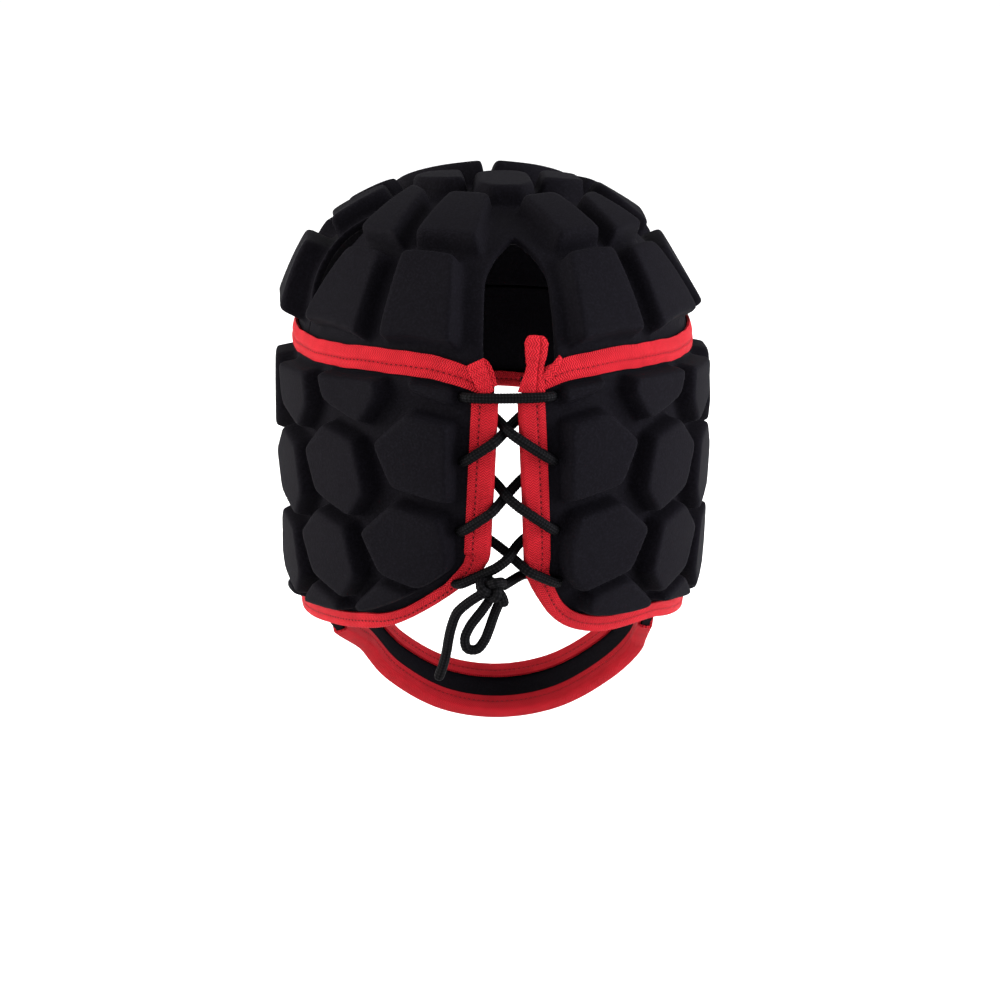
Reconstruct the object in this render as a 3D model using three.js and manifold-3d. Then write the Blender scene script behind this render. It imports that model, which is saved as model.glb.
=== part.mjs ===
import * as THREE from "three";
import { mergeVertices } from "three/addons/utils/BufferGeometryUtils.js";
import Module from "manifold-3d";

const wasm = await Module();
wasm.setup();

// A soft padded head guard. Millimetres, +Z up, the face opening towards -Y, the laced back
// towards +Y and the wearer's left towards +X. The origin is the inside of the crown at its top.

// The head form is the inside of the cap.
const HALF_WIDTH = 79;
const BACK_DEPTH = 108;
const FRONT_DEPTH = 92;
const CROWN_RISE = 85;
const CROWN_SQUARENESS = 3;
const NAPE_DROP = 75;
const NAPE_NARROWING = 0.03;
const NAPE_HOLLOW = 0.14;

// Cloth wall and the foam pads on it.
const WALL = 3;
const PAD_HEIGHT = 8.5;
const FRONT_PAD_HEIGHT = 10.2;
const PAD_DRAFT = 1.6;
const PAD_EDGE = 1.4;
const PAD_SINK = 1.2;
const PAD_CORNER = 3.2;
const PAD_FLATNESS = 0.5;
const SMALLEST_PAD = 110;
const FULL_BREADTH = 7;

// Clearances between pieces, and of a folded tape round its edge.
const GAP = 0.3;
const FOLD_GAP = 0.6;

// Height of the seam between the crown and the side panels, along from the back middle.
const SEAM = [
  { along: 0, height: -52.4 },
  { along: 15, height: -50.4 },
  { along: 30, height: -48.5 },
  { along: 45, height: -48.1 },
  { along: 62, height: -48.8 },
  { along: 95, height: -51.2 },
  { along: 125, height: -52.3 },
  { along: 200, height: -52.2 },
  { along: 295, height: -51.5 },
];

// Woven tapes.
const TAPE = 1.1;
const CROWN_TAPE_WIDTH = 9.2;
const CROWN_TAPE_START = 6;
// The crown tape droops towards its two ends.
const END_DROOP = 3.6;
const END_REACH = 16;
const TAB_WIDTH = 6.2;
const LACE_TAPE_WIDTH = 9.8;
const NAPE_TAPE_WIDTH = 5.8;
const FACE_TAPE_WIDTH = 5.8;
const EAR_TAPE_WIDTH = 6;

// Crown: how far its pattern sits off the back line, in degrees, and the vent at the back.
const CROWN_TWIST = -2.4;
const VENT_MIDDLE = -4.6;
const VENT_TOP = -4.2;
const VENT_FOOT = -64;
// Half widths of the vent at heights from its point down.
const VENT_SHAPE = [
  { level: -7.5, half: 5.2 },
  { level: -11, half: 8.8 },
  { level: -16, half: 11.9 },
  { level: -28, half: 13.4 },
  { level: -44, half: 14.1 },
];

// Crown side panels: angles from the back line of their back and front seams, in degrees, at falls
// from the top. A dart is left open along the back seam, where the panel's edge stands off.
const SIDE_SEAMS = [
  { fall: 25, back: 84.5, front: 107 },
  { fall: 31, back: 79, front: 107 },
  { fall: 38, back: 75.5, front: 107 },
  { fall: 46, back: 74, front: 107 },
  { fall: 80, back: 74, front: 107 },
];
const SIDE_PLACE = 145;
const SIDE_ROWS = 7;
const SIDE_COLUMNS = 5;
const DART_FALLS = { from: 30, to: 63 };
const DARTS = {
  left: { width: 5, lift: 4.5, reach: 17, swell: 2.5 },
  right: { width: 1.6, lift: -5, reach: 60, swell: 0 },
};

// Pads of the crown: the sides of it that they are on, the angles from the back line of each pad's
// outer (low) and inner (high) end, and how far those ends lie from the top, all in degrees.
const CROWN_PADS = [
  { sides: [1, -1], low: [15.5, 37.2], lowFall: 62.6, high: [17, 37.8], highFall: 42.8 },
  { sides: [1, -1], low: [42.5, 67], lowFall: 63.2, high: [42.5, 60], highFall: 43.7 },
  { sides: [1], low: [10.5, 36.3], lowFall: 40.6, high: [5, 41.5], highFall: 20.4 },
  { sides: [-1], low: [17, 37.5], lowFall: 40.6, high: [10, 42.5], highFall: 22.6 },
  { sides: [1], low: [40, 61.8], lowFall: 41.6, high: [56, 83], highFall: 21.4 },
  { sides: [-1], low: [40.5, 63.5], lowFall: 42, high: [50, 69], highFall: 26.4 },
  { sides: [1, -1], low: [111, 129.5], lowFall: 64, high: [111.5, 129.5], highFall: 45 },
  { sides: [1, -1], low: [133.5, 154], lowFall: 64, high: [133.5, 154], highFall: 45 },
  { sides: [1, -1], low: [158, 177.5], lowFall: 64, high: [158, 177.5], highFall: 45 },
  { sides: [1, -1], low: [111.5, 135], lowFall: 41.5, high: [111.5, 130], highFall: 29 },
];
const SIDE_PADS = [
  { low: [78, 103.5], lowFall: 64.5, high: [78, 103.5], highFall: 47, swelling: 1 },
  { low: [79, 103.5], lowFall: 43.5, high: [86.5, 103.5], highFall: 27.5, swelling: 0 },
];
// Pads at the very top, as corners in millimetres left of a line through its middle and behind the top.
const TOP_MIDDLE = -4;
const TOP_PAD = [
  { left: 7, behind: 32 },
  { left: 12.3, behind: 24 },
  { left: 12.3, behind: -4 },
  { left: 7, behind: -11 },
];
const TOP_SIDE_PAD = [
  { left: 13.8, behind: 12.5 },
  { left: 24, behind: 10.5 },
  { left: 34, behind: 2 },
  { left: 35, behind: -10 },
  { left: 28, behind: -19 },
  { left: 13.8, behind: -15 },
];
const TOP_FRONT_PAD = [
  { left: 1.2, behind: -16.5 },
  { left: 18, behind: -21.5 },
  { left: 32, behind: -37 },
  { left: 36, behind: -50 },
  { left: 24, behind: -61 },
  { left: 1.2, behind: -64 },
];

// Honeycomb of the side panels in the flat: along from the back middle, and height. A pad's corners
// are given from its peak, and the peaks are those of the column next to the lacing.
const PAD_CORNERS = [
  { along: 0.7, height: 2.5 },
  { along: 16.2, height: -11.7 },
  { along: 7.7, height: -29.2 },
  { along: -15.7, height: -34.9 },
  { along: -25.9, height: -21.9 },
  { along: -19.5, height: -1.4 },
];
const PAD_PEAKS = [
  { along: 18.5, height: 47 },
  { along: 24.5, height: 9 },
  { along: 30.4, height: -29.3 },
  { along: 36.5, height: -67 },
  { along: 42.6, height: -102.3 },
  { along: 49.5, height: -135 },
  { along: 53, height: -166 },
];
const PAD_COLUMNS = [-1, 8];
const COLUMN_STEP = { along: 42.4, height: -9.9 };
const PAD_LACE_MARGIN = 19.5;
const PAD_FACE_MARGIN = 1.2;
const PAD_SEAM_MARGIN = 5;
const PAD_SEAM_SPREAD = 0.02;
const PAD_EDGE_MARGIN = 7.2;
const PAD_RIM_CUT = 4;

// Lower edge of a side panel in the flat, from the lacing edge round the nape and under the ear
// to the face opening and the middle of the forehead.
const LOWER_EDGE = [
  { along: 8, left: -122, right: -128.5 },
  { along: 11, left: -127, right: -135 },
  { along: 14.5, left: -130.5, right: -141 },
  { along: 18.4, left: -133.6, right: -146.6 },
  { along: 24, left: -138.2, right: -151.4 },
  { along: 32, left: -144.2, right: -155 },
  { along: 42, left: -150.6, right: -157.2 },
  { along: 50, left: -154.6, right: -157.8 },
  { along: 59, left: -157.5, right: -158 },
  { along: 75, left: -160.8, right: -159 },
  { along: 95, left: -163.6, right: -163 },
  { along: 118, left: -166.5, right: -166.5 },
  { along: 145, left: -168.5, right: -168.5 },
  { along: 164, left: -168, right: -168 },
  { along: 180, left: -160, right: -160 },
  { along: 192, left: -144, right: -144 },
  { along: 203, left: -126, right: -126 },
  { along: 216, left: -112, right: -112 },
  { along: 236, left: -102, right: -102 },
  { along: 262, left: -97.5, right: -97.5 },
  { along: 291.4, left: -96, right: -96 },
];
const LACE_EDGE_LEAN = 3;
const EDGE_STATIONS = 34;
const PANEL_ROWS = 4;
const NAPE_STATIONS = 18;
const PARTING_SHARE = 0.06;

// Ear opening.
const EAR = { along: 161, height: -121, halfWidth: 19, halfHeight: 26 };
const EAR_STATIONS = 16;

// Chin strap: sewn inside the side panels and hanging in a loop, a row for each place of its middle line.
const STRAP_SEWN = [
  { along: 163, height: -150, under: 3.3 },
  { along: 166, height: -160, under: 3.3 },
  { along: 170, height: -171, under: 3.6 },
];
const STRAP_LOOP = [
  { x: 60.5, y: -44, z: -194 },
  { x: 46.5, y: -58, z: -214 },
  { x: 24.5, y: -68, z: -230 },
];
const STRAP_CHIN = { y: -71, z: -235 };
const STRAP_SWING = -7;
const STRAP_ARCH = -150;
const STRAP_WIDTH = 26;
const STRAP_THICKNESS = 3;
const STRAP_STATIONS = 22;
const STRAP_TAPE_FROM = 3;
const STRAP_TAPE_WIDTH = 7;

// Lace and its holes.
const LACE = 4.2;
const LACE_STEPS = 56;
const LOOP_STEPS = 18;
const TAIL_STEPS = 12;
const LACED_SIDES = 6;
const HANGING_SIDES = 8;
const LACE_HOLES = [
  { along: 17.3, height: -59, gap: 4.8 },
  { along: 17.4, height: -84, gap: 5.6 },
  { along: 18.6, height: -111.5, gap: 7 },
  { along: 20.5, height: -133, gap: 8.6 },
];
// Heights off the wall of the strand that lies on top at a crossing and of the one below it.
const STRAND_ON_TOP = { near: -1.9, middle: 4, far: 6.6 };
const STRAND_BELOW = { near: -3.3, middle: -1.1, far: 2.8 };
const OVER_TAPE = 7;
const UNDER_TAPE = -4.5;
const KNOT = { x: 6.5, y: 111.5, z: -133, width: 12, depth: 8, height: 10 };
// Ways of the loop and the tail that hang from the knot, in millimetres left of the middle, behind
// the top and up.
const LOOP_WAY = [
  { x: 6.8, y: 111.4, z: -137.4 },
  { x: 10.4, y: 109, z: -143.4 },
  { x: 14.6, y: 107.8, z: -149.5 },
  { x: 16.6, y: 107.6, z: -154.5 },
  { x: 15.6, y: 107.4, z: -158.6 },
  { x: 12, y: 107.3, z: -159 },
  { x: 9.2, y: 107.3, z: -155.8 },
  { x: 7.2, y: 107.4, z: -151 },
  { x: 5.4, y: 107.5, z: -145 },
  { x: 3.4, y: 109.6, z: -137.4 },
];
const TAIL_WAY = [
  { x: 8.2, y: 112.6, z: -134 },
  { x: 11, y: 112.3, z: -135.7 },
  { x: 15, y: 110.8, z: -138.8 },
  { x: 19.6, y: 108.4, z: -143.8 },
  { x: 21.6, y: 107.6, z: -149 },
  { x: 22.8, y: 106.6, z: -154.5 },
  { x: 23.6, y: 105.6, z: -160 },
  { x: 25, y: 104.8, z: -166 },
  { x: 27.2, y: 104.2, z: -172.4 },
];

const deg = THREE.MathUtils.degToRad;

// Angle round the head from the back middle, for a length along the wall.
const ROUND_STEP = deg(0.5);
const roundLengths = [0];
for (let angle = 0; angle < Math.PI; angle += ROUND_STEP) {
  const depth = angle < Math.PI / 2 ? BACK_DEPTH : FRONT_DEPTH;
  const across = (HALF_WIDTH + WALL) * Math.cos(angle);
  const ahead = (depth + WALL) * Math.sin(angle);
  roundLengths.push(roundLengths.at(-1) + Math.hypot(across, ahead) * ROUND_STEP);
}
function angleAlong(along) {
  const length = Math.abs(along);
  let i = roundLengths.findIndex((l) => l > length);
  if (i < 0) i = roundLengths.length - 1;
  const share = (length - roundLengths[i - 1]) / (roundLengths[i] - roundLengths[i - 1]);
  return Math.sign(along) * (i - 1 + share) * ROUND_STEP;
}

// The head form at a flat place of the side panels.
function sideForm(along, height) {
  const angle = angleAlong(along);
  const up = Math.max(0, (height + CROWN_RISE) / CROWN_RISE);
  const level = Math.pow(1 - Math.pow(up, CROWN_SQUARENESS), 1 / CROWN_SQUARENESS);
  const fall = Math.max(0, -height - CROWN_RISE) / NAPE_DROP;
  const depth = Math.cos(angle) > 0 ? BACK_DEPTH : FRONT_DEPTH;
  const x = HALF_WIDTH * level * (1 - NAPE_NARROWING * fall * fall) * Math.sin(angle);
  const y = depth * level * (1 - NAPE_HOLLOW * fall * fall) * Math.cos(angle);
  return new THREE.Vector3(x, y, height);
}

// The head form at a flat place of the crown: left of and behind the top.
function crownForm(left, behind) {
  const across = left / HALF_WIDTH;
  const back = behind / (behind > 0 ? BACK_DEPTH : FRONT_DEPTH);
  const fall = Math.hypot(across, back);
  if (fall < 1e-9) return new THREE.Vector3();
  const sum = Math.pow(Math.sin(fall), CROWN_SQUARENESS) + Math.pow(Math.cos(fall), CROWN_SQUARENESS);
  const size = Math.pow(sum, -1 / CROWN_SQUARENESS);
  const level = (Math.sin(fall) * size) / fall;
  const depth = behind > 0 ? BACK_DEPTH : FRONT_DEPTH;
  const rise = CROWN_RISE * (Math.cos(fall) * size - 1);
  return new THREE.Vector3(HALF_WIDTH * level * across, depth * level * back, rise);
}

// A point off a form by a distance along its outward normal.
const NUDGE = 0.05;
const MIDDLE = new THREE.Vector3(0, 0, -CROWN_RISE);
function off(form, p, q, distance) {
  const here = form(p, q);
  const alongP = form(p + NUDGE, q).sub(form(p - NUDGE, q));
  const alongQ = form(p, q + NUDGE).sub(form(p, q - NUDGE));
  const normal = alongP.cross(alongQ).normalize();
  const outward = here.clone().sub(MIDDLE);
  if (normal.dot(outward) < 0) normal.negate();
  return here.addScaledVector(normal, distance);
}
const onSide = (along, height, distance) => off(sideForm, along, height, distance);
const onCrown = (left, behind, distance) => off(crownForm, left, behind, distance);

// The fall from the top, in degrees, of a height on the crown.
function fallAt(height) {
  const up = (height + CROWN_RISE) / CROWN_RISE;
  const level = Math.pow(1 - Math.pow(up, CROWN_SQUARENESS), 1 / CROWN_SQUARENESS);
  return THREE.MathUtils.radToDeg(Math.atan2(level, up));
}
function seamHeight(along) {
  const i = Math.max(1, SEAM.findIndex((row) => row.along >= Math.abs(along)));
  const [a, b] = [SEAM[i - 1], SEAM[i]];
  const share = (Math.abs(along) - a.along) / (b.along - a.along);
  return THREE.MathUtils.lerp(a.height, b.height, share);
}
function tapeHeight(along) {
  const near = Math.max(0, 1 - (Math.abs(along) - CROWN_TAPE_START) / END_REACH);
  return seamHeight(along) - END_DROOP * Math.pow(near, 1.5);
}
function crownFlat(angle, fall) {
  const turned = deg(angle + CROWN_TWIST);
  const depth = Math.cos(turned) > 0 ? BACK_DEPTH : FRONT_DEPTH;
  const left = HALF_WIDTH * deg(fall) * Math.sin(turned);
  return new THREE.Vector2(left, depth * deg(fall) * Math.cos(turned));
}

// Solids.
function geometryOf(positions, triangles) {
  const made = new THREE.BufferGeometry();
  made.setAttribute("position", new THREE.Float32BufferAttribute(positions, 3));
  made.setIndex(triangles);
  return made;
}
function solidOf(geometry) {
  const bare = geometry.clone();
  bare.deleteAttribute("normal");
  bare.deleteAttribute("uv");
  const merged = mergeVertices(bare, 1e-4);
  const points = merged.attributes.position.array;
  const at = (i) => new THREE.Vector3().fromArray(points, i * 3);
  const triangles = [];
  let volume = 0;
  for (let i = 0; i < merged.index.count; i += 3) {
    const [a, b, c] = merged.index.array.slice(i, i + 3);
    if (a === b || b === c || c === a) continue;
    triangles.push([a, b, c]);
    volume += at(a).dot(at(b).cross(at(c)));
  }
  const facing = triangles.flatMap(([a, b, c]) => (volume > 0 ? [a, b, c] : [a, c, b]));
  const mesh = new wasm.Mesh({
    numProp: 3,
    vertProperties: new Float32Array(points),
    triVerts: new Uint32Array(facing),
  });
  return new wasm.Manifold(mesh);
}

// A sheet of two grids of points, its outer and its inner side, closed round its edges.
function slab(outer, inner, round = false) {
  const rows = outer.length;
  const columns = outer[0].length;
  const positions = [outer, inner].flat(2).flatMap((p) => [p.x, p.y, p.z]);
  const index = (side, i, j) => side * rows * columns + (i % rows) * columns + j;
  const triangles = [];
  const quad = (a, b, c, d) => triangles.push(a, b, c, a, c, d);
  const lastRow = round ? rows : rows - 1;
  for (let i = 0; i < lastRow; i++) {
    for (let j = 0; j < columns - 1; j++) {
      quad(index(0, i, j), index(0, i + 1, j), index(0, i + 1, j + 1), index(0, i, j + 1));
      quad(index(1, i, j), index(1, i, j + 1), index(1, i + 1, j + 1), index(1, i + 1, j));
    }
    const last = columns - 1;
    quad(index(0, i + 1, 0), index(0, i, 0), index(1, i, 0), index(1, i + 1, 0));
    quad(index(0, i, last), index(0, i + 1, last), index(1, i + 1, last), index(1, i, last));
  }
  for (let j = 0; j < columns - 1 && !round; j++) {
    const end = rows - 1;
    quad(index(0, 0, j), index(0, 0, j + 1), index(1, 0, j + 1), index(1, 0, j));
    quad(index(0, end, j + 1), index(0, end, j), index(1, end, j), index(1, end, j + 1));
  }
  return solidOf(geometryOf(positions, triangles));
}

// A convex outline moved inwards, or none where it closes up.
function inset(outline, distance) {
  const turn = THREE.ShapeUtils.isClockWise(outline) ? -1 : 1;
  const edges = outline.map((p, i) => {
    const along = outline[(i + 1) % outline.length].clone().sub(p).normalize();
    const inward = new THREE.Vector2(-along.y, along.x).multiplyScalar(turn);
    return { inward, reach: inward.dot(p) + distance };
  });
  return outline.map((p, i) => {
    const a = edges[(i + edges.length - 1) % edges.length];
    const b = edges[i];
    const cross = a.inward.cross(b.inward);
    const x = (a.reach * b.inward.y - b.reach * a.inward.y) / cross;
    const y = (b.reach * a.inward.x - a.reach * b.inward.x) / cross;
    return new THREE.Vector2(x, y);
  });
}
// Cuts the corners of an outline that has few of them.
function blunted(outline) {
  if (outline.length > 5) return outline;
  return outline.flatMap((p, i) => {
    const before = outline[(i + outline.length - 1) % outline.length].clone().sub(p);
    const after = outline[(i + 1) % outline.length].clone().sub(p);
    return [before, after].map((way) => way.setLength(Math.min(PAD_CORNER, way.length() * 0.3)).add(p));
  });
}
// Keeps the part of a convex outline that lies left of the line from a to b by a margin.
function keepLeft(outline, a, b, margin) {
  const inward = new THREE.Vector2(a.y - b.y, b.x - a.x).normalize();
  const side = (p) => inward.dot(p.clone().sub(a)) - margin;
  return outline.flatMap((p, i) => {
    const next = outline[(i + 1) % outline.length];
    const [here, there] = [side(p), side(next)];
    const kept = here >= 0 ? [p] : [];
    if (here >= 0 !== there >= 0) kept.push(p.clone().lerp(next, here / (here - there)));
    return kept;
  });
}
// Corners that lie close together become one.
function withoutShortEdges(outline, shortest) {
  return outline.filter((p, i) => p.distanceTo(outline[(i + 1) % outline.length]) > shortest);
}

// Narrow pads are lower and steeper, by their area over their girth.
function slimness(outline) {
  const girth = outline.reduce((sum, p, i) => sum + p.distanceTo(outline[(i + 1) % outline.length]), 0);
  const breadth = (2 * Math.abs(THREE.ShapeUtils.area(outline))) / girth;
  return Math.min(1, breadth / FULL_BREADTH);
}
// A foam pad on a form: drafted sides, a bevelled rim and a face flatter than the head.
function pad(place, outline, height = PAD_HEIGHT) {
  const slim = slimness(outline);
  const rings = [
    { inwards: 0, rise: WALL - PAD_SINK },
    { inwards: PAD_DRAFT * slim, rise: WALL + height * slim - PAD_EDGE },
    { inwards: (PAD_DRAFT + PAD_EDGE) * slim, rise: WALL + height * slim },
  ];
  const rounded = rings.map(({ inwards, rise }) =>
    blunted(inset(outline, inwards)).map((p) => place(p.x, p.y, rise)),
  );
  const count = rounded[0].length;
  const middle = outline.reduce((sum, p) => sum.add(p), new THREE.Vector2()).divideScalar(outline.length);
  const face = rounded[2].reduce((sum, p) => sum.add(p), new THREE.Vector3()).divideScalar(count);
  const crest = place(middle.x, middle.y, WALL + height * slim).lerp(face, PAD_FLATNESS);
  const foot = place(middle.x, middle.y, WALL - PAD_SINK);
  const points = [...rounded.flat(), crest, foot];
  const triangles = [];
  for (let i = 0; i < count; i++) {
    const next = (i + 1) % count;
    for (let ring = 0; ring < 2; ring++) {
      const [low, high] = [ring * count, (ring + 1) * count];
      triangles.push(low + i, low + next, high + next, low + i, high + next, high + i);
    }
    triangles.push(2 * count + i, 2 * count + next, 3 * count);
    triangles.push(next, i, 3 * count + 1);
  }
  return solidOf(geometryOf(points.flatMap((p) => [p.x, p.y, p.z]), triangles));
}

// A tube along a smooth way through points.
function cord(points, diameter, steps, sides) {
  const ring = [];
  for (let i = 0; i < sides; i++) {
    const turn = (2 * Math.PI * i) / sides;
    ring.push(new THREE.Vector2(Math.cos(turn), Math.sin(turn)).multiplyScalar(diameter / 2));
  }
  const section = new THREE.Shape(ring);
  const extrudePath = new THREE.CatmullRomCurve3(points);
  return solidOf(new THREE.ExtrudeGeometry(section, { steps, extrudePath, bevelEnabled: false }));
}

// A tape folded round an edge. Each station is a function from the depth in from the edge and the
// rise off the inner side to a point.
function binding(stations, width, thickness, round = false) {
  const top = thickness + FOLD_GAP;
  const low = -FOLD_GAP;
  const outer = stations.map((at, i) => [
    at(width(i), top + TAPE),
    at(low - TAPE, top + TAPE),
    at(low - TAPE, low - TAPE),
    at(width(i), low - TAPE),
  ]);
  const inner = stations.map((at, i) => [at(width(i), top), at(low, top), at(low, low), at(width(i), low)]);
  return slab(outer, inner, round);
}
// Stations along an edge of a side panel in the flat, with the panel on its left.
function edgeStations(edge, round = false) {
  const last = edge.length - 1;
  return edge.map((p, i) => {
    const before = edge[round ? (i + last) % edge.length : Math.max(0, i - 1)];
    const after = edge[round ? (i + 1) % edge.length : Math.min(last, i + 1)];
    const along = after.clone().sub(before).normalize();
    return (depth, rise) => onSide(p.x - along.y * depth, p.y + along.x * depth, rise);
  });
}
const joined = (solids) => solids.reduce((all, solid) => all.add(solid));
const FACET_TOLERANCE = 0.28;
const lightened = (solid) => solid.asOriginal().simplify(FACET_TOLERANCE);

// Crown: a dome, cut by the vent and by the two side panels that are let into it.
const DOME_SPOKES = 32;
const DOME_RINGS = 5;
function domeGrid(distance) {
  const grid = [];
  for (let i = 0; i < DOME_SPOKES; i++) {
    const angle = -180 + (360 * i) / DOME_SPOKES;
    const along = roundLengths[Math.round(deg(Math.abs(angle)) / ROUND_STEP)];
    const edgeFall = fallAt(seamHeight(along) + GAP);
    const spoke = [];
    for (let j = 0; j <= DOME_RINGS; j++) {
      const p = crownFlat(angle - CROWN_TWIST, (edgeFall * j) / DOME_RINGS);
      spoke.push(onCrown(p.x, p.y, distance));
    }
    grid.push(spoke);
  }
  return grid;
}
const dome = slab(domeGrid(WALL), domeGrid(0), true);

const CUT_REACH = 120;
function ventCutter() {
  const left = VENT_SHAPE.map(({ level, half }) => new THREE.Vector2(VENT_MIDDLE + half, level));
  const right = VENT_SHAPE.map(({ level, half }) => new THREE.Vector2(VENT_MIDDLE - half, level));
  const foot = [left.at(-1), right.at(-1)].map((p) => new THREE.Vector2(p.x, VENT_FOOT));
  const outline = [new THREE.Vector2(VENT_MIDDLE, VENT_TOP), ...left, ...foot, ...right.reverse()];
  const shape = new THREE.Shape(outline);
  const cutter = new THREE.ExtrudeGeometry(shape, { depth: CUT_REACH, bevelEnabled: false });
  cutter.rotateX(Math.PI / 2);
  cutter.translate(0, CUT_REACH + BACK_DEPTH / 4, 0);
  return solidOf(cutter);
}

// Crown side panels, as grids between their seams.
const EDGE_FALL = fallAt(seamHeight(SIDE_PLACE) + GAP);
function seamAngle(fall, seam) {
  const i = Math.max(1, SIDE_SEAMS.findIndex((row) => row.fall >= fall));
  const [a, b] = [SIDE_SEAMS[i - 1], SIDE_SEAMS[i]];
  return a[seam] + ((b[seam] - a[seam]) * (fall - a.fall)) / (b.fall - a.fall);
}
// How far along the dart a fall lies: none at its ends, one in its middle.
function dartShare(fall) {
  const share = (fall - DART_FALLS.from) / (DART_FALLS.to - DART_FALLS.from);
  return share > 0 && share < 1 ? Math.sin(Math.PI * share) : 0;
}
function sideFalls() {
  const top = SIDE_SEAMS[0].fall;
  return Array.from({ length: SIDE_ROWS + 1 }, (_, i) => top + ((EDGE_FALL - top) * i) / SIDE_ROWS);
}
function sideSheet(side, rise, falls, grow, dartWidth, lifted) {
  const rows = [];
  for (const fall of falls) {
    const degree = crownFlat(side * 90, fall).distanceTo(crownFlat(side * 91, fall));
    const back = seamAngle(fall, "back") - (grow + dartWidth * dartShare(fall)) / degree;
    const front = seamAngle(fall, "front") + grow / degree;
    const row = [];
    for (let j = 0; j <= SIDE_COLUMNS; j++) {
      const angle = back + ((front - back) * j) / SIDE_COLUMNS;
      const p = crownFlat(side * angle, fall);
      row.push(onCrown(p.x, p.y, rise + lifted(angle, fall)));
    }
    rows.push(row);
  }
  return rows;
}
function crownSide(side, { lift, reach, swell }) {
  const lifted = (angle, fall) => {
    const near = Math.max(0, 1 - (angle - seamAngle(fall, "back")) / reach);
    return lift * Math.min(1, near * near) * dartShare(fall);
  };
  const sheet = (rise) => sideSheet(side, rise, sideFalls(), 0, 0, lifted);
  const place = (left, behind, rise) => {
    const depth = behind > 0 ? BACK_DEPTH : FRONT_DEPTH;
    const turned = Math.atan2(left / HALF_WIDTH, behind / depth);
    const fall = THREE.MathUtils.radToDeg(Math.hypot(left / HALF_WIDTH, behind / depth));
    const angle = side * (THREE.MathUtils.radToDeg(turned) - CROWN_TWIST);
    return onCrown(left, behind, rise + lifted(angle, fall));
  };
  const pads = SIDE_PADS.map((row) => crownPad(row, side, place, PAD_HEIGHT + swell * row.swelling));
  return joined([slab(sheet(WALL), sheet(0)), ...pads]);
}
function crownSideRoom(side, { width }) {
  const falls = [SIDE_SEAMS[0].fall - GAP, ...sideFalls().slice(1), SIDE_SEAMS.at(-1).fall];
  const sheet = (rise) => sideSheet(side, rise, falls, 2 * GAP, width, () => 0);
  return slab(sheet(2 * PAD_HEIGHT), sheet(-PAD_HEIGHT));
}

function crownPad({ low, lowFall, high, highFall }, side, place = onCrown, height = PAD_HEIGHT) {
  const ends = [
    [low[0], lowFall],
    [low[1], lowFall],
    [high[1], highFall],
    [high[0], highFall],
  ];
  return pad(place, ends.map(([angle, fall]) => crownFlat(side * angle, fall)), height);
}
function topPads() {
  const corner = (side, middle) => ({ left, behind }) => new THREE.Vector2(side * left + middle, behind);
  const middle = [
    ...TOP_PAD.map(corner(1, TOP_MIDDLE)),
    ...TOP_PAD.map(corner(-1, TOP_MIDDLE)).reverse(),
  ];
  const paired = [1, -1].flatMap((side) => [
    pad(onCrown, TOP_SIDE_PAD.map(corner(side, TOP_MIDDLE))),
    pad(onCrown, TOP_FRONT_PAD.map(corner(side, 0)), FRONT_PAD_HEIGHT),
  ]);
  return [pad(onCrown, middle), ...paired];
}
const crownPads = CROWN_PADS.flatMap((row) => row.sides.map((side) => crownPad(row, side)));
const crown = joined([dome.subtract(ventCutter()), ...crownPads, ...topPads()])
  .subtract(crownSideRoom(1, DARTS.left))
  .subtract(crownSideRoom(-1, DARTS.right));
const crownSides = [crownSide(1, DARTS.left), crownSide(-1, DARTS.right)];

// Side panels: a grid from the seam down to the lower edge.
function lowerEdge(side) {
  const points = LOWER_EDGE.map((row) => new THREE.Vector2(row.along, row[side]));
  return new THREE.SplineCurve(points).getSpacedPoints(EDGE_STATIONS);
}
const FACE_MIDDLE = LOWER_EDGE.at(-1).along;
function leaned(along, share) {
  const fade = Math.max(0, 1 - (along - LOWER_EDGE[0].along) / (2 * PAD_LACE_MARGIN));
  return along - LACE_EDGE_LEAN * fade * (1 - share);
}
function panelColumn(foot, rows, place) {
  const head = seamHeight(foot.x) - GAP;
  const column = [];
  for (let j = 0; j <= rows; j++) {
    const share = j / rows;
    column.push(place(leaned(foot.x, share), head + (foot.y - head) * share));
  }
  return column;
}
function panelGrid(edge, distance) {
  const place = (along, height) => onSide(along, height, distance);
  return edge.map((foot) => panelColumn(foot, PANEL_ROWS, place));
}
function lowerHeight(edge, along) {
  const i = Math.max(1, edge.findIndex((p) => p.x > along));
  const [a, b] = along < FACE_MIDDLE ? [edge[i - 1], edge[i]] : edge.slice(-2);
  return a.y + ((b.y - a.y) * (along - a.x)) / (b.x - a.x);
}

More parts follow.
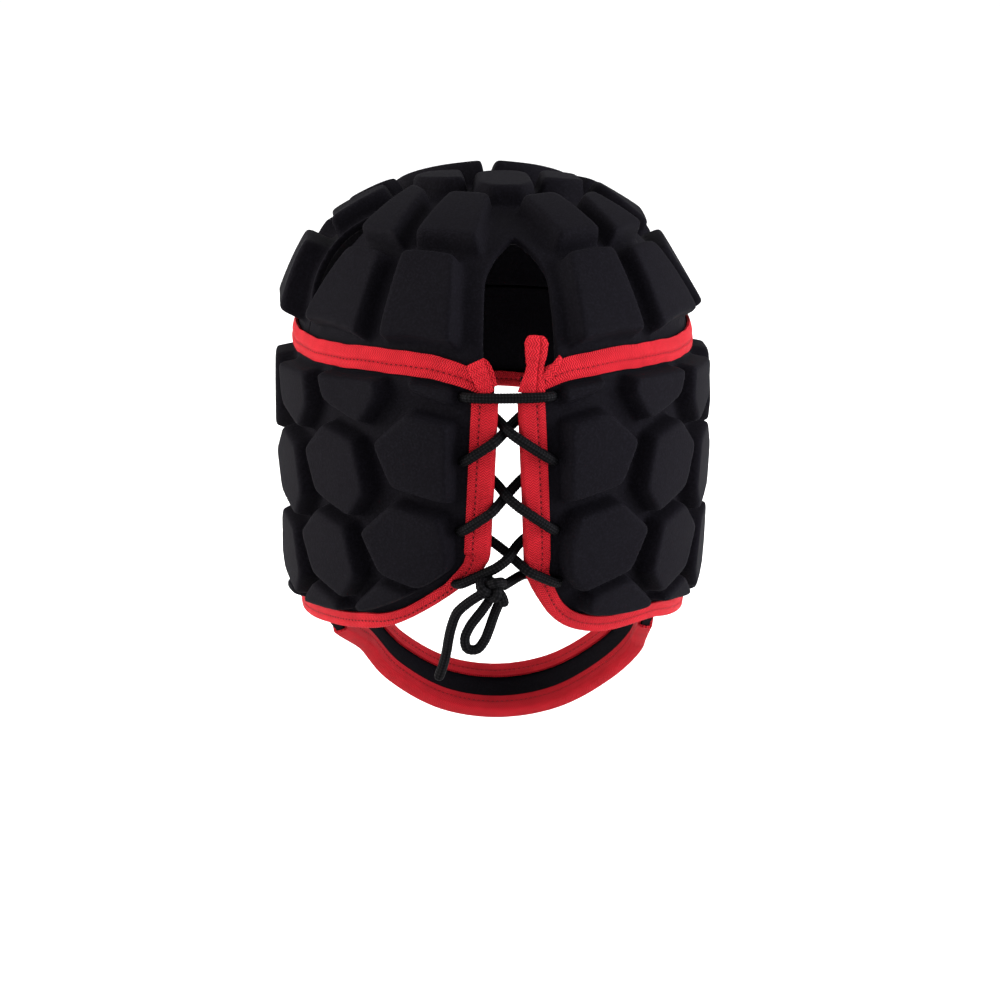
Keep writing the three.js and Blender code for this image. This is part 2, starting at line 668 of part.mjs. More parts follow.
// Pads of the honeycomb, cut to the panel.
function honeycomb(edge) {
  const cells = [];
  for (const peak of PAD_PEAKS) {
    for (let column = PAD_COLUMNS[0]; column <= PAD_COLUMNS[1]; column++) {
      const along = peak.along + column * COLUMN_STEP.along;
      const height = peak.height + column * COLUMN_STEP.height;
      const whole = PAD_CORNERS.map((p) => new THREE.Vector2(along + p.along, height + p.height));
      const cell = cutToPanel(edge, whole);
      if (cell.length > 2 && Math.abs(THREE.ShapeUtils.area(cell)) > SMALLEST_PAD) cells.push(cell);
    }
  }
  return cells;
}
function cutToPanel(edge, cell) {
  const reach = cell.map((p) => p.x);
  const [near, far] = [Math.min(...reach), Math.min(FACE_MIDDLE, Math.max(...reach))];
  if (far < PAD_LACE_MARGIN || near >= far) return [];
  const at = (along, height) => new THREE.Vector2(along, height);
  const seamMargin = PAD_SEAM_MARGIN + PAD_SEAM_SPREAD * Math.min(near, SIDE_PLACE);
  const low = [near, far].map((along) => lowerHeight(edge, along));
  const lines = [
    { from: at(0, 0), to: at(0, -1), margin: PAD_LACE_MARGIN },
    { from: at(FACE_MIDDLE, 0), to: at(FACE_MIDDLE, 1), margin: PAD_FACE_MARGIN },
    { from: at(far, seamHeight(far)), to: at(near, seamHeight(near)), margin: seamMargin },
    { from: at(near, low[0]), to: at(far, low[1]), margin: PAD_RIM_CUT },
  ];
  const kept = lines.reduce((outline, line) => keepLeft(outline, line.from, line.to, line.margin), cell);
  return withoutShortEdges(kept, PAD_CORNER);
}

// A plug through a side panel, as wide as the ear opening and a margin.
function earEdge(margin) {
  const edge = [];
  for (let i = 0; i < EAR_STATIONS; i++) {
    const turn = (-2 * Math.PI * i) / EAR_STATIONS;
    const along = EAR.along + (EAR.halfWidth + margin) * Math.cos(turn);
    edge.push(new THREE.Vector2(along, EAR.height + (EAR.halfHeight + margin) * Math.sin(turn)));
  }
  return edge;
}
function earPlug(margin, low, high) {
  const side = (rise) =>
    earEdge(margin).map((p) => [onSide(EAR.along, EAR.height, rise), onSide(p.x, p.y, rise)]);
  return slab(side(high), side(low), true);
}
// A strip along the lower edge, as deep as the pads keep clear of it.
function rimStrip(edge) {
  const stations = edgeStations(edge);
  const side = (rise) => stations.map((at) => [at(-PAD_EDGE_MARGIN, rise), at(PAD_EDGE_MARGIN, rise)]);
  return slab(side(3 * PAD_HEIGHT), side(0));
}

function laceWay(side) {
  const way = [];
  const go = (along, height, rise) => way.push(onSide(along, height, rise));
  let from = side;
  LACE_HOLES.forEach((hole, k) => {
    const shoulder = hole.along - LACE / 3;
    if (k === 0) go(from * (hole.gap + LACE), hole.height, OVER_TAPE);
    go(from * shoulder, hole.height, OVER_TAPE - LACE / 3);
    go(from * hole.along, hole.height - GAP, WALL / 2);
    go(from * shoulder, hole.height - 3 * GAP, UNDER_TAPE + LACE / 3);
    const next = LACE_HOLES[k + 1];
    if (!next) return;
    const onTop = k < 2 ? from > 0 : from < 0;
    const strand = onTop ? STRAND_ON_TOP : STRAND_BELOW;
    const gap = (hole.gap + next.gap) / 2;
    const places = [
      { across: gap + LACE, rise: UNDER_TAPE },
      { across: gap, rise: UNDER_TAPE },
      { across: gap / 2, rise: strand.near },
      { across: 0, rise: strand.middle },
      { across: -gap / 2, rise: strand.far },
      { across: -gap, rise: OVER_TAPE },
      { across: -gap - LACE, rise: OVER_TAPE },
    ];
    places.forEach(({ across, rise }) => {
      const share = (hole.along - across) / (hole.along + next.along);
      go(from * across, hole.height + (next.height - hole.height) * share, rise);
    });
    from = -from;
  });
  const end = LACE_HOLES.at(-1);
  go(from * (end.gap + LACE), end.height, UNDER_TAPE);
  go(from * end.gap, end.height, UNDER_TAPE);
  way.push(new THREE.Vector3(KNOT.x + (from * KNOT.width) / 2, KNOT.y - 1, KNOT.z));
  return way;
}
const laceHalves = [laceWay(-1), laceWay(1)];
const laceMiddle = onSide(0, LACE_HOLES[0].height, OVER_TAPE - GAP);
const laceRoute = [...laceHalves[0].reverse(), laceMiddle, ...laceHalves[1]];
function knot(clearance) {
  const ball = new THREE.SphereGeometry(0.5, 12, 7);
  ball.scale(KNOT.width + 2 * clearance, KNOT.depth + 2 * clearance, KNOT.height + 2 * clearance);
  ball.translate(KNOT.x, KNOT.y, KNOT.z);
  return solidOf(ball);
}
const knotRoom = knot(GAP);
const laceRoom = cord(laceRoute, LACE + 2 * GAP, LACE_STEPS, LACED_SIDES);
const lace = cord(laceRoute, LACE, LACE_STEPS, LACED_SIDES).subtract(knotRoom);
function hanging(way, steps) {
  return cord(way.map(({ x, y, z }) => new THREE.Vector3(x, y, z)), LACE, steps, HANGING_SIDES);
}
const laceLoop = hanging(LOOP_WAY, LOOP_STEPS).subtract(knotRoom);
const laceTail = hanging(TAIL_WAY, TAIL_STEPS).subtract(knotRoom);

function mirrored(solid) {
  const mesh = solid.getMesh();
  const positions = Array.from(mesh.vertProperties, (v, i) => (i % 3 === 0 ? -v : v));
  return solidOf(geometryOf(positions, Array.from(mesh.triVerts)));
}
const EAR_PAD_MARGIN = 8;
function sidePanel(edge) {
  const pads = joined(honeycomb(edge).map((cell) => pad(onSide, cell)))
    .subtract(rimStrip(edge))
    .subtract(earPlug(EAR_PAD_MARGIN, 0, 3 * PAD_HEIGHT));
  const wall = slab(panelGrid(edge, WALL), panelGrid(edge, 0));
  return wall.add(pads).subtract(earPlug(0, -PAD_HEIGHT, 3 * PAD_HEIGHT));
}

// The nape binding and the face binding of a side panel.
function edgeBindings(edge) {
  const flat = (along, height) => new THREE.Vector2(along, height);
  const laceEdge = panelColumn(edge[0], PANEL_ROWS, flat);
  laceEdge[0].y = tapeHeight(CROWN_TAPE_START) - CROWN_TAPE_WIDTH / 2 - 2 * GAP;
  const stations = edgeStations([...laceEdge.slice(0, -1), ...edge]);
  const parting = PANEL_ROWS + NAPE_STATIONS;
  const [before, after] = stations.slice(parting, parting + 2);
  const parted = (depth, rise) => before(depth, rise).lerp(after(depth, rise), PARTING_SHARE);
  const napeWidth = (i) => (i < PANEL_ROWS ? LACE_TAPE_WIDTH : NAPE_TAPE_WIDTH);
  return {
    nape: binding(stations.slice(0, parting + 1), napeWidth, WALL),
    face: binding([parted, ...stations.slice(parting + 1)], () => FACE_TAPE_WIDTH, WALL),
  };
}
const [leftEdge, rightEdge] = [lowerEdge("left"), lowerEdge("right")];
const [leftBindings, rightBindings] = [edgeBindings(leftEdge), edgeBindings(rightEdge)];
const earBinding = binding(edgeStations(earEdge(0), true), () => EAR_TAPE_WIDTH, WALL, true);

// The tape over the seam, from one side of the lacing round the front to the other.
const CROWN_TAPE_STEPS = 52;
function crownTape() {
  const sides = [WALL + FOLD_GAP + TAPE, WALL + FOLD_GAP].map((rise) => {
    const rows = [];
    for (let i = 0; i <= CROWN_TAPE_STEPS; i++) {
      const whole = roundLengths.at(-2);
      const along = CROWN_TAPE_START + ((2 * whole - 2 * CROWN_TAPE_START) * i) / CROWN_TAPE_STEPS;
      const place = along > whole ? along - 2 * whole : along;
      const middle = tapeHeight(place);
      const half = CROWN_TAPE_WIDTH / 2;
      rows.push([onSide(place, middle + half, rise), onSide(place, middle - half, rise)]);
    }
    return rows;
  });
  return slab(...sides);
}

// Chin strap: stations of its middle line, each with its own way across and out.
function strapStations() {
  const points = [];
  for (const side of [1, -1]) {
    const half = [];
    for (const { along, height, under } of STRAP_SEWN) {
      half.push(onSide(side * along, height, -under - STRAP_THICKNESS / 2));
    }
    for (const { x, y, z } of STRAP_LOOP) half.push(new THREE.Vector3(side * x + STRAP_SWING, y, z));
    points.push(side > 0 ? half : half.reverse());
  }
  const chin = new THREE.Vector3(STRAP_SWING, STRAP_CHIN.y, STRAP_CHIN.z);
  const curve = new THREE.CatmullRomCurve3([...points[0], chin, ...points[1]]);
  const stations = [];
  for (let i = 0; i <= STRAP_STATIONS; i++) {
    const middle = curve.getPointAt(i / STRAP_STATIONS);
    const along = curve.getTangentAt(i / STRAP_STATIONS);
    const ahead = middle.y * Math.pow(HALF_WIDTH / FRONT_DEPTH, 2);
    const out = new THREE.Vector3(middle.x, ahead, Math.min(0, middle.z - STRAP_ARCH));
    out.addScaledVector(along, -out.dot(along)).normalize();
    const across = along.clone().cross(out);
    stations.push((side, rise) =>
      middle.clone().addScaledVector(across, side).addScaledVector(out, rise - STRAP_THICKNESS / 2),
    );
  }
  return stations;
}
const strapLine = strapStations();
const STRAP_FOLD = STRAP_WIDTH / 2 - STRAP_TAPE_WIDTH;
const STRAP_COLUMNS = [-STRAP_WIDTH / 2, -STRAP_FOLD, STRAP_FOLD, STRAP_WIDTH / 2];
const strapSide = (rise) => strapLine.map((at) => STRAP_COLUMNS.map((side) => at(side, rise)));
const chinStrap = slab(strapSide(STRAP_THICKNESS), strapSide(0));
function strapBinding(side) {
  const bound = strapLine.slice(STRAP_TAPE_FROM, strapLine.length - STRAP_TAPE_FROM);
  const stations = bound.map((at) => (depth, rise) => at(side * (STRAP_WIDTH / 2 - depth), rise));
  return binding(stations, () => STRAP_TAPE_WIDTH, STRAP_THICKNESS);
}

// Loose ends of the crown tape at the lacing: a folded tab on the left, a stub standing up on the right.
const LEFT_END = [
  { along: 11.7, height: -47.9 },
  { along: 8.1, height: -55.4 },
];
const RIGHT_END = [
  { along: -8.6, height: -55.6 },
  { along: -10.5, height: -38.7 },
];
function tapeEnd([from, to], width) {
  const along = new THREE.Vector2(to.along - from.along, to.height - from.height).normalize();
  const half = width / 2;
  const rise = WALL + FOLD_GAP + GAP + TAPE;
  const steps = 4;
  const sides = [rise + TAPE, rise].map((r) => {
    const rows = [];
    for (let i = 0; i <= steps; i++) {
      const u = from.along + ((to.along - from.along) * i) / steps;
      const z = from.height + ((to.height - from.height) * i) / steps;
      rows.push([
        onSide(u - along.y * half, z + along.x * half, r),
        onSide(u + along.y * half, z - along.x * half, r),
      ]);
    }
    return rows;
  });
  return slab(...sides);
}

const CLOTH = { color: 0x1b1a1f, roughness: 0.85, metalness: 0 };
const TAPE_RED = { color: 0xd42a35, roughness: 0.7, metalness: 0 };
const LACE_BLACK = { color: 0x1c1b20, roughness: 0.75, metalness: 0 };

const cap = new THREE.Group();
cap.name = "scrum_cap";
function piece(name, solid, finish) {
  const mesh = lightened(solid).getMesh();
  const positions = Array.from(mesh.vertProperties);
  const made = new THREE.Mesh(
    geometryOf(positions, Array.from(mesh.triVerts)),
    new THREE.MeshStandardMaterial(finish),
  );
  made.name = name;
  cap.add(made);
}
piece("crown_panel", crown, CLOTH);
piece("crown_side_left", crownSides[0], CLOTH);
piece("crown_side_right", crownSides[1], CLOTH);
piece("side_panel_left", sidePanel(leftEdge).subtract(laceRoom), CLOTH);
piece("side_panel_right", mirrored(sidePanel(rightEdge)).subtract(laceRoom), CLOTH);
piece("crown_tape", crownTape().subtract(laceRoom), TAPE_RED);
piece("crown_tape_end_left", tapeEnd(LEFT_END, TAB_WIDTH), TAPE_RED);
piece("crown_tape_end_right", tapeEnd(RIGHT_END, CROWN_TAPE_WIDTH), TAPE_RED);
piece("nape_binding_left", leftBindings.nape.subtract(laceRoom), TAPE_RED);
piece("nape_binding_right", mirrored(rightBindings.nape).subtract(laceRoom), TAPE_RED);
piece("face_binding_left", leftBindings.face, TAPE_RED);
piece("face_binding_right", mirrored(rightBindings.face), TAPE_RED);
piece("ear_binding_left", earBinding, TAPE_RED);
piece("ear_binding_right", mirrored(earBinding), TAPE_RED);
piece("chin_strap", chinStrap, CLOTH);
piece("strap_binding_rear", strapBinding(1), TAPE_RED);
piece("strap_binding_front", strapBinding(-1), TAPE_RED);
piece("lace", lace, LACE_BLACK);
piece("lace_knot", knot(0), LACE_BLACK);
piece("lace_loop", laceLoop, LACE_BLACK);
piece("lace_tail", laceTail, LACE_BLACK);

export default cap;
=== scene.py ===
import math

import bpy
import numpy as np
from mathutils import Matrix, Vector


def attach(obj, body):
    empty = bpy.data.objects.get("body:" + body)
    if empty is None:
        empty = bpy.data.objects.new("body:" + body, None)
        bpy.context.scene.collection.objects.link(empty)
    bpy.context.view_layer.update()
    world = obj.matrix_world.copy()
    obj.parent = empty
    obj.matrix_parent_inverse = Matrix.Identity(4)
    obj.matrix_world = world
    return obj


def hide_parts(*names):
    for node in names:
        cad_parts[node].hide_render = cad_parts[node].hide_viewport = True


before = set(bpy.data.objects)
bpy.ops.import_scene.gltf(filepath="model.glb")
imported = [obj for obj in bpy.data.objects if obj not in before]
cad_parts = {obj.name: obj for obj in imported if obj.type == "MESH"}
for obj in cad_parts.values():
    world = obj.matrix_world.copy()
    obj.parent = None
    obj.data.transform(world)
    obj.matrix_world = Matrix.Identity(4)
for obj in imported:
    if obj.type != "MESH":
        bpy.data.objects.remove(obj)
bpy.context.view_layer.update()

# A soft padded head guard of black foam pads and red tapes. Lengths are in millimetres until a mesh
# is made. +Z is up, the face opening lies towards -Y and the wearer's left towards +X.
MM = 0.001

# The photo's camera.
CAMERA_PLACE = (65.4, 1158.3, 172.95)
CAMERA_TARGET = (-2.93, 8.17, -125)
CAMERA_LENS = 102.24
CAMERA_SENSOR = 36
FLOOR_HEIGHT = -262

# The head form is the inside of the cap.
HALF_WIDTH = 79
BACK_DEPTH = 108
FRONT_DEPTH = 92
CROWN_RISE = 85
CROWN_SQUARENESS = 3
NAPE_DROP = 75
NAPE_NARROWING = 0.03
NAPE_HOLLOW = 0.14

# Cloth wall, foam pads and clearances.
WALL = 3
PAD_HEIGHT = 8.5
FRONT_PAD_HEIGHT = 10.2
PAD_FOOT = 2
SMALLEST_PAD = 110
FULL_BREADTH = 7
SHORTEST_EDGE = 3.2
CORNER_SOFTNESS = 0.9
GAP = 0.3
FOLD_GAP = 0.6
# A pad's face is partly flat: it tends to a plane through its rim, within a limit.
PAD_FLATNESS = 0.5
FACE_RIM = 0.82
FACE_LIMIT = 4
# How high a pad's side stands, as a share of its height, at depths in from its outline.
PAD_PROFILE = (
    (-1, 0), (-0.5, 0.02), (0, 0.09), (0.4, 0.3), (0.9, 0.62),
    (1.4, 0.85), (1.8, 0.945), (2.3, 0.985), (3.2, 1),
)
# Size of the small faces that a panel is remade in, and passes of smoothing.
VOXEL = 0.95
CROWN_VOXEL = 1.12
SMOOTHING = 3

# Seam between crown and side panels: along from the back middle, height.
SEAM = (
    (0, -52.4), (15, -50.4), (30, -48.5), (45, -48.1), (62, -48.8),
    (95, -51.2), (125, -52.3), (200, -52.2), (295, -51.5),
)

# Woven tapes.
TAPE = 1.1
CROWN_TAPE_WIDTH = 9.2
CROWN_TAPE_START = 6
# The crown tape droops towards its two ends.
END_DROOP = 3.6
END_REACH = 16
LACE_TAPE_WIDTH = 8.6
NAPE_TAPE_WIDTH = 5.8
CORNER_TAPE_WIDTH = {1: 4, -1: 6}
FACE_TAPE_WIDTH = 5.8
EAR_TAPE_WIDTH = 6
STRAP_TAPE_WIDTH = 7
UV_PER_MM = 0.1
# Each folded tape bulges a little past the edge that it binds.
FOLD_BULGE = 0.3
FOLD_ROWS = 26
FOLD_STEP = 1.6
# Stitches: distance from the tape's free edge, spacing, how deep they sink in, and half sizes.
STITCH_INSET = 3.2
STITCH_PITCH = 2.3
STITCH_SINK = 0.05
STITCH = (0.8, 0.26, 0.22)

# Crown and the vent at its back: half widths at heights from its point down.
CROWN_TWIST = -2.4
VENT_MIDDLE = -4.6
VENT_SHAPE = ((-4.2, 0), (-7.5, 5.2), (-11, 8.8), (-16, 11.9), (-28, 13.4), (-44, 14.1), (-64, 14.1))

# Crown side panels: falls from the top, and the angles of their back and front seams.
SIDE_FALLS = (25, 31, 38, 46, 80)
SIDE_BACKS = (84.5, 79, 75.5, 74, 74)
SIDE_FRONT = 107
SIDE_PLACE = 145
DART_FROM = 30
DART_TO = 63
DARTS = {
    1: {"width": 5, "lift": 4.5, "reach": 17, "swell": 2.5},
    -1: {"width": 1.6, "lift": -5, "reach": 60, "swell": 0},
}

# Pads of the crown: the sides they are on, angles of the low and the high end, and their falls from the top.
CROWN_PADS = (
    ((1, -1), (15.5, 37.2), 62.6, (17, 37.8), 42.8),
    ((1, -1), (42.5, 67), 63.2, (42.5, 60), 43.7),
    ((1,), (10.5, 36.3), 40.6, (5, 41.5), 20.4),
    ((-1,), (17, 37.5), 40.6, (10, 42.5), 22.6),
    ((1,), (40, 61.8), 41.6, (56, 83), 21.4),
    ((-1,), (40.5, 63.5), 42, (50, 69), 26.4),
    ((1, -1), (111, 129.5), 64, (111.5, 129.5), 45),
    ((1, -1), (133.5, 154), 64, (133.5, 154), 45),
    ((1, -1), (158, 177.5), 64, (158, 177.5), 45),
    ((1, -1), (111.5, 135), 41.5, (111.5, 130), 29),
)
LOW_SIDE_PAD = ((78, 103.5), 64.5, (78, 103.5), 47)
HIGH_SIDE_PAD = ((79, 103.5), 43.5, (86.5, 103.5), 27.5)
# Pads at the very top: left of a line through its middle and behind the top.
TOP_MIDDLE = (-4, 0)
TOP_PAD = ((7, 32), (12.3, 24), (12.3, -4), (7, -11), (-7, -11), (-12.3, -4), (-12.3, 24), (-7, 32))
TOP_SIDE_PAD = ((13.8, 12.5), (24, 10.5), (34, 2), (35, -10), (28, -19), (13.8, -15))
TOP_FRONT_PAD = ((1.2, -16.5), (18, -21.5), (32, -37), (36, -50), (24, -61), (1.2, -64))

# Honeycomb of the side panels: a pad's corners from its peak, and the peaks next to the lacing.
PAD_CORNERS = ((0.7, 2.5), (16.2, -11.7), (7.7, -29.2), (-15.7, -34.9), (-25.9, -21.9), (-19.5, -1.4))
PAD_PEAKS = ((18.5, 47), (24.5, 9), (30.4, -29.3), (36.5, -67), (42.6, -102.3), (49.5, -135), (53, -166))
PAD_COLUMNS = range(-1, 9)
COLUMN_STEP = (42.4, -9.9)
PAD_LACE_MARGIN = 19.5
PAD_FACE_MARGIN = 1.2
PAD_SEAM_MARGIN = 5
PAD_SEAM_SPREAD = 0.02
PAD_EDGE_MARGIN = 7.2
PAD_RIM_CUT = 4
EAR_PAD_MARGIN = 8

# Lower edge of a side panel: along, and the height on the left and on the right.
LOWER_EDGE = (
    (8, -122, -128.5), (11, -127, -135), (14.5, -130.5, -141), (18.4, -133.6, -146.6), (24, -138.2, -151.4),
    (32, -144.2, -155), (42, -150.6, -157.2), (50, -154.6, -157.8), (59, -157.5, -158), (75, -160.8, -159),
    (95, -163.6, -163), (118, -166.5, -166.5), (145, -168.5, -168.5), (164, -168, -168), (180, -160, -160),
    (192, -144, -144), (203, -126, -126), (216, -112, -112), (236, -102, -102), (262, -97.5, -97.5),
    (291.4, -96, -96),
)
LACE_EDGE_LEAN = 3
NAPE_TO = 137
EAR_MIDDLE = (161, -121)
EAR_HALF = (19, 26)

# Chin strap: where it is sewn inside the side panels (along, height, depth under the wall) and its loop.
STRAP_SEWN = ((163, -150, 3.3), (166, -160, 3.3), (170, -171, 3.6))
STRAP_LOOP = ((60.5, -44, -194), (46.5, -58, -214), (24.5, -68, -230))
STRAP_CHIN = (-71, -235)
STRAP_SWING = -7
STRAP_ARCH = -150
STRAP_WIDTH = 26
STRAP_THICKNESS = 3
# The strap's bindings start at a share of its length and take up another.
STRAP_BOUND_FROM = 0.105
STRAP_BOUND_SHARE = 0.79

# Lace: its holes (along, height, half gap of the lacing there) and heights off the head form at crossings.
LACE = 4.2
BRAID_PITCH = 2.4
BRAID_YARNS = 5
BRAID_DEPTH = 0.16
LACE_HOLE_RADIUS = 1.6
LACE_HOLES = ((17.3, -59, 4.8), (17.4, -84, 5.6), (18.6, -111.5, 7), (20.5, -133, 8.6))
STRAND_ON_TOP = (-1.9, 4, 6.6)
STRAND_BELOW = (-3.3, -1.1, 2.8)
OVER_TAPE = 7
UNDER_TAPE = -4.5
# A strand's distances before a hole, with its height off the head form, where it dips into the hole.
LACE_DIPS = ((0.8 * LACE, OVER_TAPE - GAP), (0.2 * LACE, WALL + LACE / 3))
KNOT = (6.5, 111.5, -133)
KNOT_WIDTH = 12
KNOT_SPREAD = (1.55, 2.4, 1.3)
KNOT_STEPS = 170
LOOP_WAY = (
    (6.8, 111.4, -137.4), (10.4, 109, -143.4), (14.6, 107.8, -149.5), (16.6, 107.6, -154.5),
    (15.6, 107.4, -158.6), (12, 107.3, -159), (9.2, 107.3, -155.8), (7.2, 107.4, -151),
    (5.2, 107.5, -145), (2.4, 109.4, -137.4),
)
TAIL_WAY = (
    (8.2, 112.6, -134), (11, 112.3, -135.7), (15, 110.8, -138.8), (19.6, 108.4, -143.8),
    (21.6, 107.6, -149), (22.8, 106.6, -154.5), (23.6, 105.6, -160), (25, 104.8, -166),
    (27.2, 104.2, -172.4),
)
STUB_WAY = ((4, 111.5, -134), (2.2, 112.4, -137), (1.2, 112.4, -140.6))
STUB = LACE - 0.2


# Colours and materials.
def linear(code):
    """A hex sRGB colour as linear RGBA."""
    parts = [int(code[i:i + 2], 16) / 255 for i in (1, 3, 5)]
    return (*[p / 12.92 if p <= 0.04045 else ((p + 0.055) / 1.055) ** 2.4 for p in parts], 1)


def add(tree, kind, inputs=None, **settings):
    """Adds a node with its settings, and with inputs that are values or other nodes' sockets."""
    made = tree.nodes.new(kind)
    for key, value in settings.items():
        setattr(made, key, value)
    for socket, value in (inputs or {}).items():
        if isinstance(value, bpy.types.NodeSocket):
            tree.links.new(value, made.inputs[socket])
        else:
            made.inputs[socket].default_value = value
    return made


def start(name):
    made = bpy.data.materials.new(name)
    made.use_nodes = True
    return made, made.node_tree, made.node_tree.nodes["Principled BSDF"]


def calc(tree, operation, *values, clamp=False):
    made = add(tree, "ShaderNodeMath", dict(enumerate(values)), operation=operation, use_clamp=clamp)
    return made.outputs[0]


def blend(tree, share, low, high):
    made = add(tree, "ShaderNodeMix", {0: share, 6: low, 7: high}, data_type="RGBA")
    return made.outputs[2]


def noise(tree, scale, detail=2):
    """Mottling over an object, with a scale to the metre."""
    place = add(tree, "ShaderNodeTexCoord").outputs["Object"]
    return add(tree, "ShaderNodeTexNoise", {"Vector": place, "Scale": scale, "Detail": detail}).outputs[0]


def on_cloth(tree):
    """Distances along and across the flat cloth in millimetres."""
    flat = add(tree, "ShaderNodeTexCoord").outputs["UV"]
    parts = add(tree, "ShaderNodeSeparateXYZ", {0: flat}).outputs
    return [calc(tree, "DIVIDE", part, UV_PER_MM) for part in parts[:2]]


def surface(tree, shader, colour, roughness, specular):
    tree.links.new(colour, shader.inputs["Base Color"])
    shader.inputs["Roughness"].default_value = roughness
    shader.inputs["Specular IOR Level"].default_value = specular


def relief(tree, shader, height, strength, distance):
    bump = add(tree, "ShaderNodeBump", {"Height": height, "Strength": strength, "Distance": distance})
    tree.links.new(bump.outputs[0], shader.inputs["Normal"])


def pad_cloth():
    """Black stretch knit over foam: matte, a fine grain, and the faintest bloom where it turns away."""
    made, tree, shader = start("knit_cloth_over_foam")
    # The knit's 0.5 mm loops are drawn 0.9 mm wide, so that they can be seen.
    grain = noise(tree, 1100)
    tone = blend(tree, noise(tree, 70, 3), linear("#060508"), linear("#09080B"))
    speck = calc(tree, "MULTIPLY", calc(tree, "SUBTRACT", grain, 0.45, clamp=True), 1.8, clamp=True)
    surface(tree, shader, blend(tree, speck, tone, linear("#100F14")), 0.8, 0.02)
    relief(tree, shader, grain, 0.4, 0.0003)
    shader.inputs["Sheen Weight"].default_value = 0.004
    shader.inputs["Sheen Roughness"].default_value = 0.4
    shader.inputs["Sheen Tint"].default_value = linear("#C9C6DA")
    return made


def red_tape():
    """Red twill tape: slanting ribs that meet in chevrons, and a sunken row of needle holes along an edge,
    painted dark red as shade in the holes.
    """
    made, tree, shader = start("red_twill_tape")
    along, inwards = on_cloth(tree)
    # The twill's ribs are 0.5 mm apart; they are drawn 1 mm apart, so that they can be seen.
    slant = calc(tree, "MULTIPLY", calc(tree, "PINGPONG", inwards, 1.15), 0.9)
    turn = calc(tree, "MULTIPLY", calc(tree, "ADD", along, slant), 2 * math.pi)
    rib = calc(tree, "MULTIPLY_ADD", calc(tree, "SINE", turn), 0.5, 0.5)
    tone = blend(tree, noise(tree, 160, 3), linear("#92121A"), linear("#BC1E29"))
    ribbed = blend(tree, calc(tree, "MULTIPLY", rib, 0.75), tone, linear("#5E0910"))
    phase = calc(tree, "PINGPONG", along, STITCH_PITCH / 2)
    beside = calc(tree, "ABSOLUTE", calc(tree, "SUBTRACT", inwards, STITCH_INSET))
    # The needle holes are painted dark red: painted shade in the sunken holes.
    hole = calc(tree, "MULTIPLY", calc(tree, "LESS_THAN", phase, 0.5), calc(tree, "LESS_THAN", beside, 0.3))
    surface(tree, shader, blend(tree, hole, ribbed, linear("#40060C")), 0.7, 0.05)
    sunk = calc(tree, "SUBTRACT", 1, calc(tree, "DIVIDE", beside, 0.9), clamp=True)
    depth = calc(tree, "SUBTRACT", rib, calc(tree, "ADD", hole, calc(tree, "MULTIPLY", sunk, 1.5)))
    relief(tree, shader, depth, 0.8, 0.0004)
    return made


def red_thread():
    """Red sewing thread: a little darker and smoother than the tape that it holds."""
    made, tree, shader = start("red_sewing_thread")
    surface(tree, shader, blend(tree, noise(tree, 900), linear("#6E0C14"), linear("#8E1620")), 0.6, 0.06)
    return made


def black_lace():
    """Black braided cord: crossing yarns, with small points of painted highlight on their crowns."""
    made, tree, shader = start("braided_black_cord")
    along, across = on_cloth(tree)
    along = calc(tree, "MULTIPLY", along, 2 * math.pi / BRAID_PITCH)
    round_it = calc(tree, "MULTIPLY", across, BRAID_YARNS / (LACE / 2))
    one = calc(tree, "SINE", calc(tree, "ADD", along, round_it))
    other = calc(tree, "SINE", calc(tree, "SUBTRACT", along, round_it))
    yarn = calc(tree, "MULTIPLY_ADD", calc(tree, "MULTIPLY", one, other), 0.5, 0.5)
    # The yarns' crowns are painted lighter: painted highlight, not the cord's own colour.
    painted_yarn_highlight = calc(tree, "POWER", yarn, 3)
    surface(tree, shader, blend(tree, painted_yarn_highlight, linear("#020203"), linear("#151416")), 0.65, 0.035)
    relief(tree, shader, yarn, 1, 0.0004)
    return made


def pale_floor():
    """White matte paper under the cap, with the faintest mottling."""
    made, tree, shader = start("white_studio_paper")
    surface(tree, shader, blend(tree, noise(tree, 3), linear("#F7F7F7"), linear("#FBFBFB")), 0.95, 0.1)
    return made


# Ways and lines.
def evenly(points, spacing):
    """A line of points spaced evenly along one of them."""
    gone = np.concatenate([[0], np.cumsum(np.linalg.norm(np.diff(points, axis=0), axis=1))])
    places = np.linspace(0, gone[-1], max(3, round(gone[-1] / spacing) + 1))
    return np.stack([np.interp(places, gone, column) for column in points.T], axis=1)


def smooth_way(points, spacing):
    """A smooth line through points, without overshoot where they lie close together."""
    knots = np.asarray(points, float)
    knots = np.vstack([2 * knots[0] - knots[1], knots, 2 * knots[-1] - knots[-2]])
    line = []
    for p in (knots[i:i + 4] for i in range(len(knots) - 3)):
        t = np.concatenate([[0], np.cumsum(np.linalg.norm(np.diff(p, axis=0), axis=1) ** 0.5)])
        at = np.linspace(t[1], t[2], 24, endpoint=False)[:, None]
        low = [((t[i + 1] - at) * p[i] + (at - t[i]) * p[i + 1]) / (t[i + 1] - t[i]) for i in range(3)]
        mid = [((t[i + 2] - at) * low[i] + (at - t[i]) * low[i + 1]) / (t[i + 2] - t[i]) for i in range(2)]
        line.append(((t[2] - at) * mid[0] + (at - t[1]) * mid[1]) / (t[2] - t[1]))
    return evenly(np.vstack([*line, knots[-2:-1]]), spacing)


def length_of(way):
    return float(np.linalg.norm(np.diff(way, axis=0), axis=1).sum())


def ahead_along(line, closed=False):
    """The direction of a line at each of its points."""
    if closed:
        ahead = np.roll(line, -1, axis=0) - np.roll(line, 1, axis=0)
    else:
        ahead = np.gradient(line, axis=0)
    return ahead / np.linalg.norm(ahead, axis=1, keepdims=True)


def square_to(ahead, ways):
    """Ways made square to the directions of a line, each of length 1."""
    ways = ways - ahead * np.sum(ways * ahead, axis=1, keepdims=True)
    return ways / np.linalg.norm(ways, axis=1, keepdims=True)


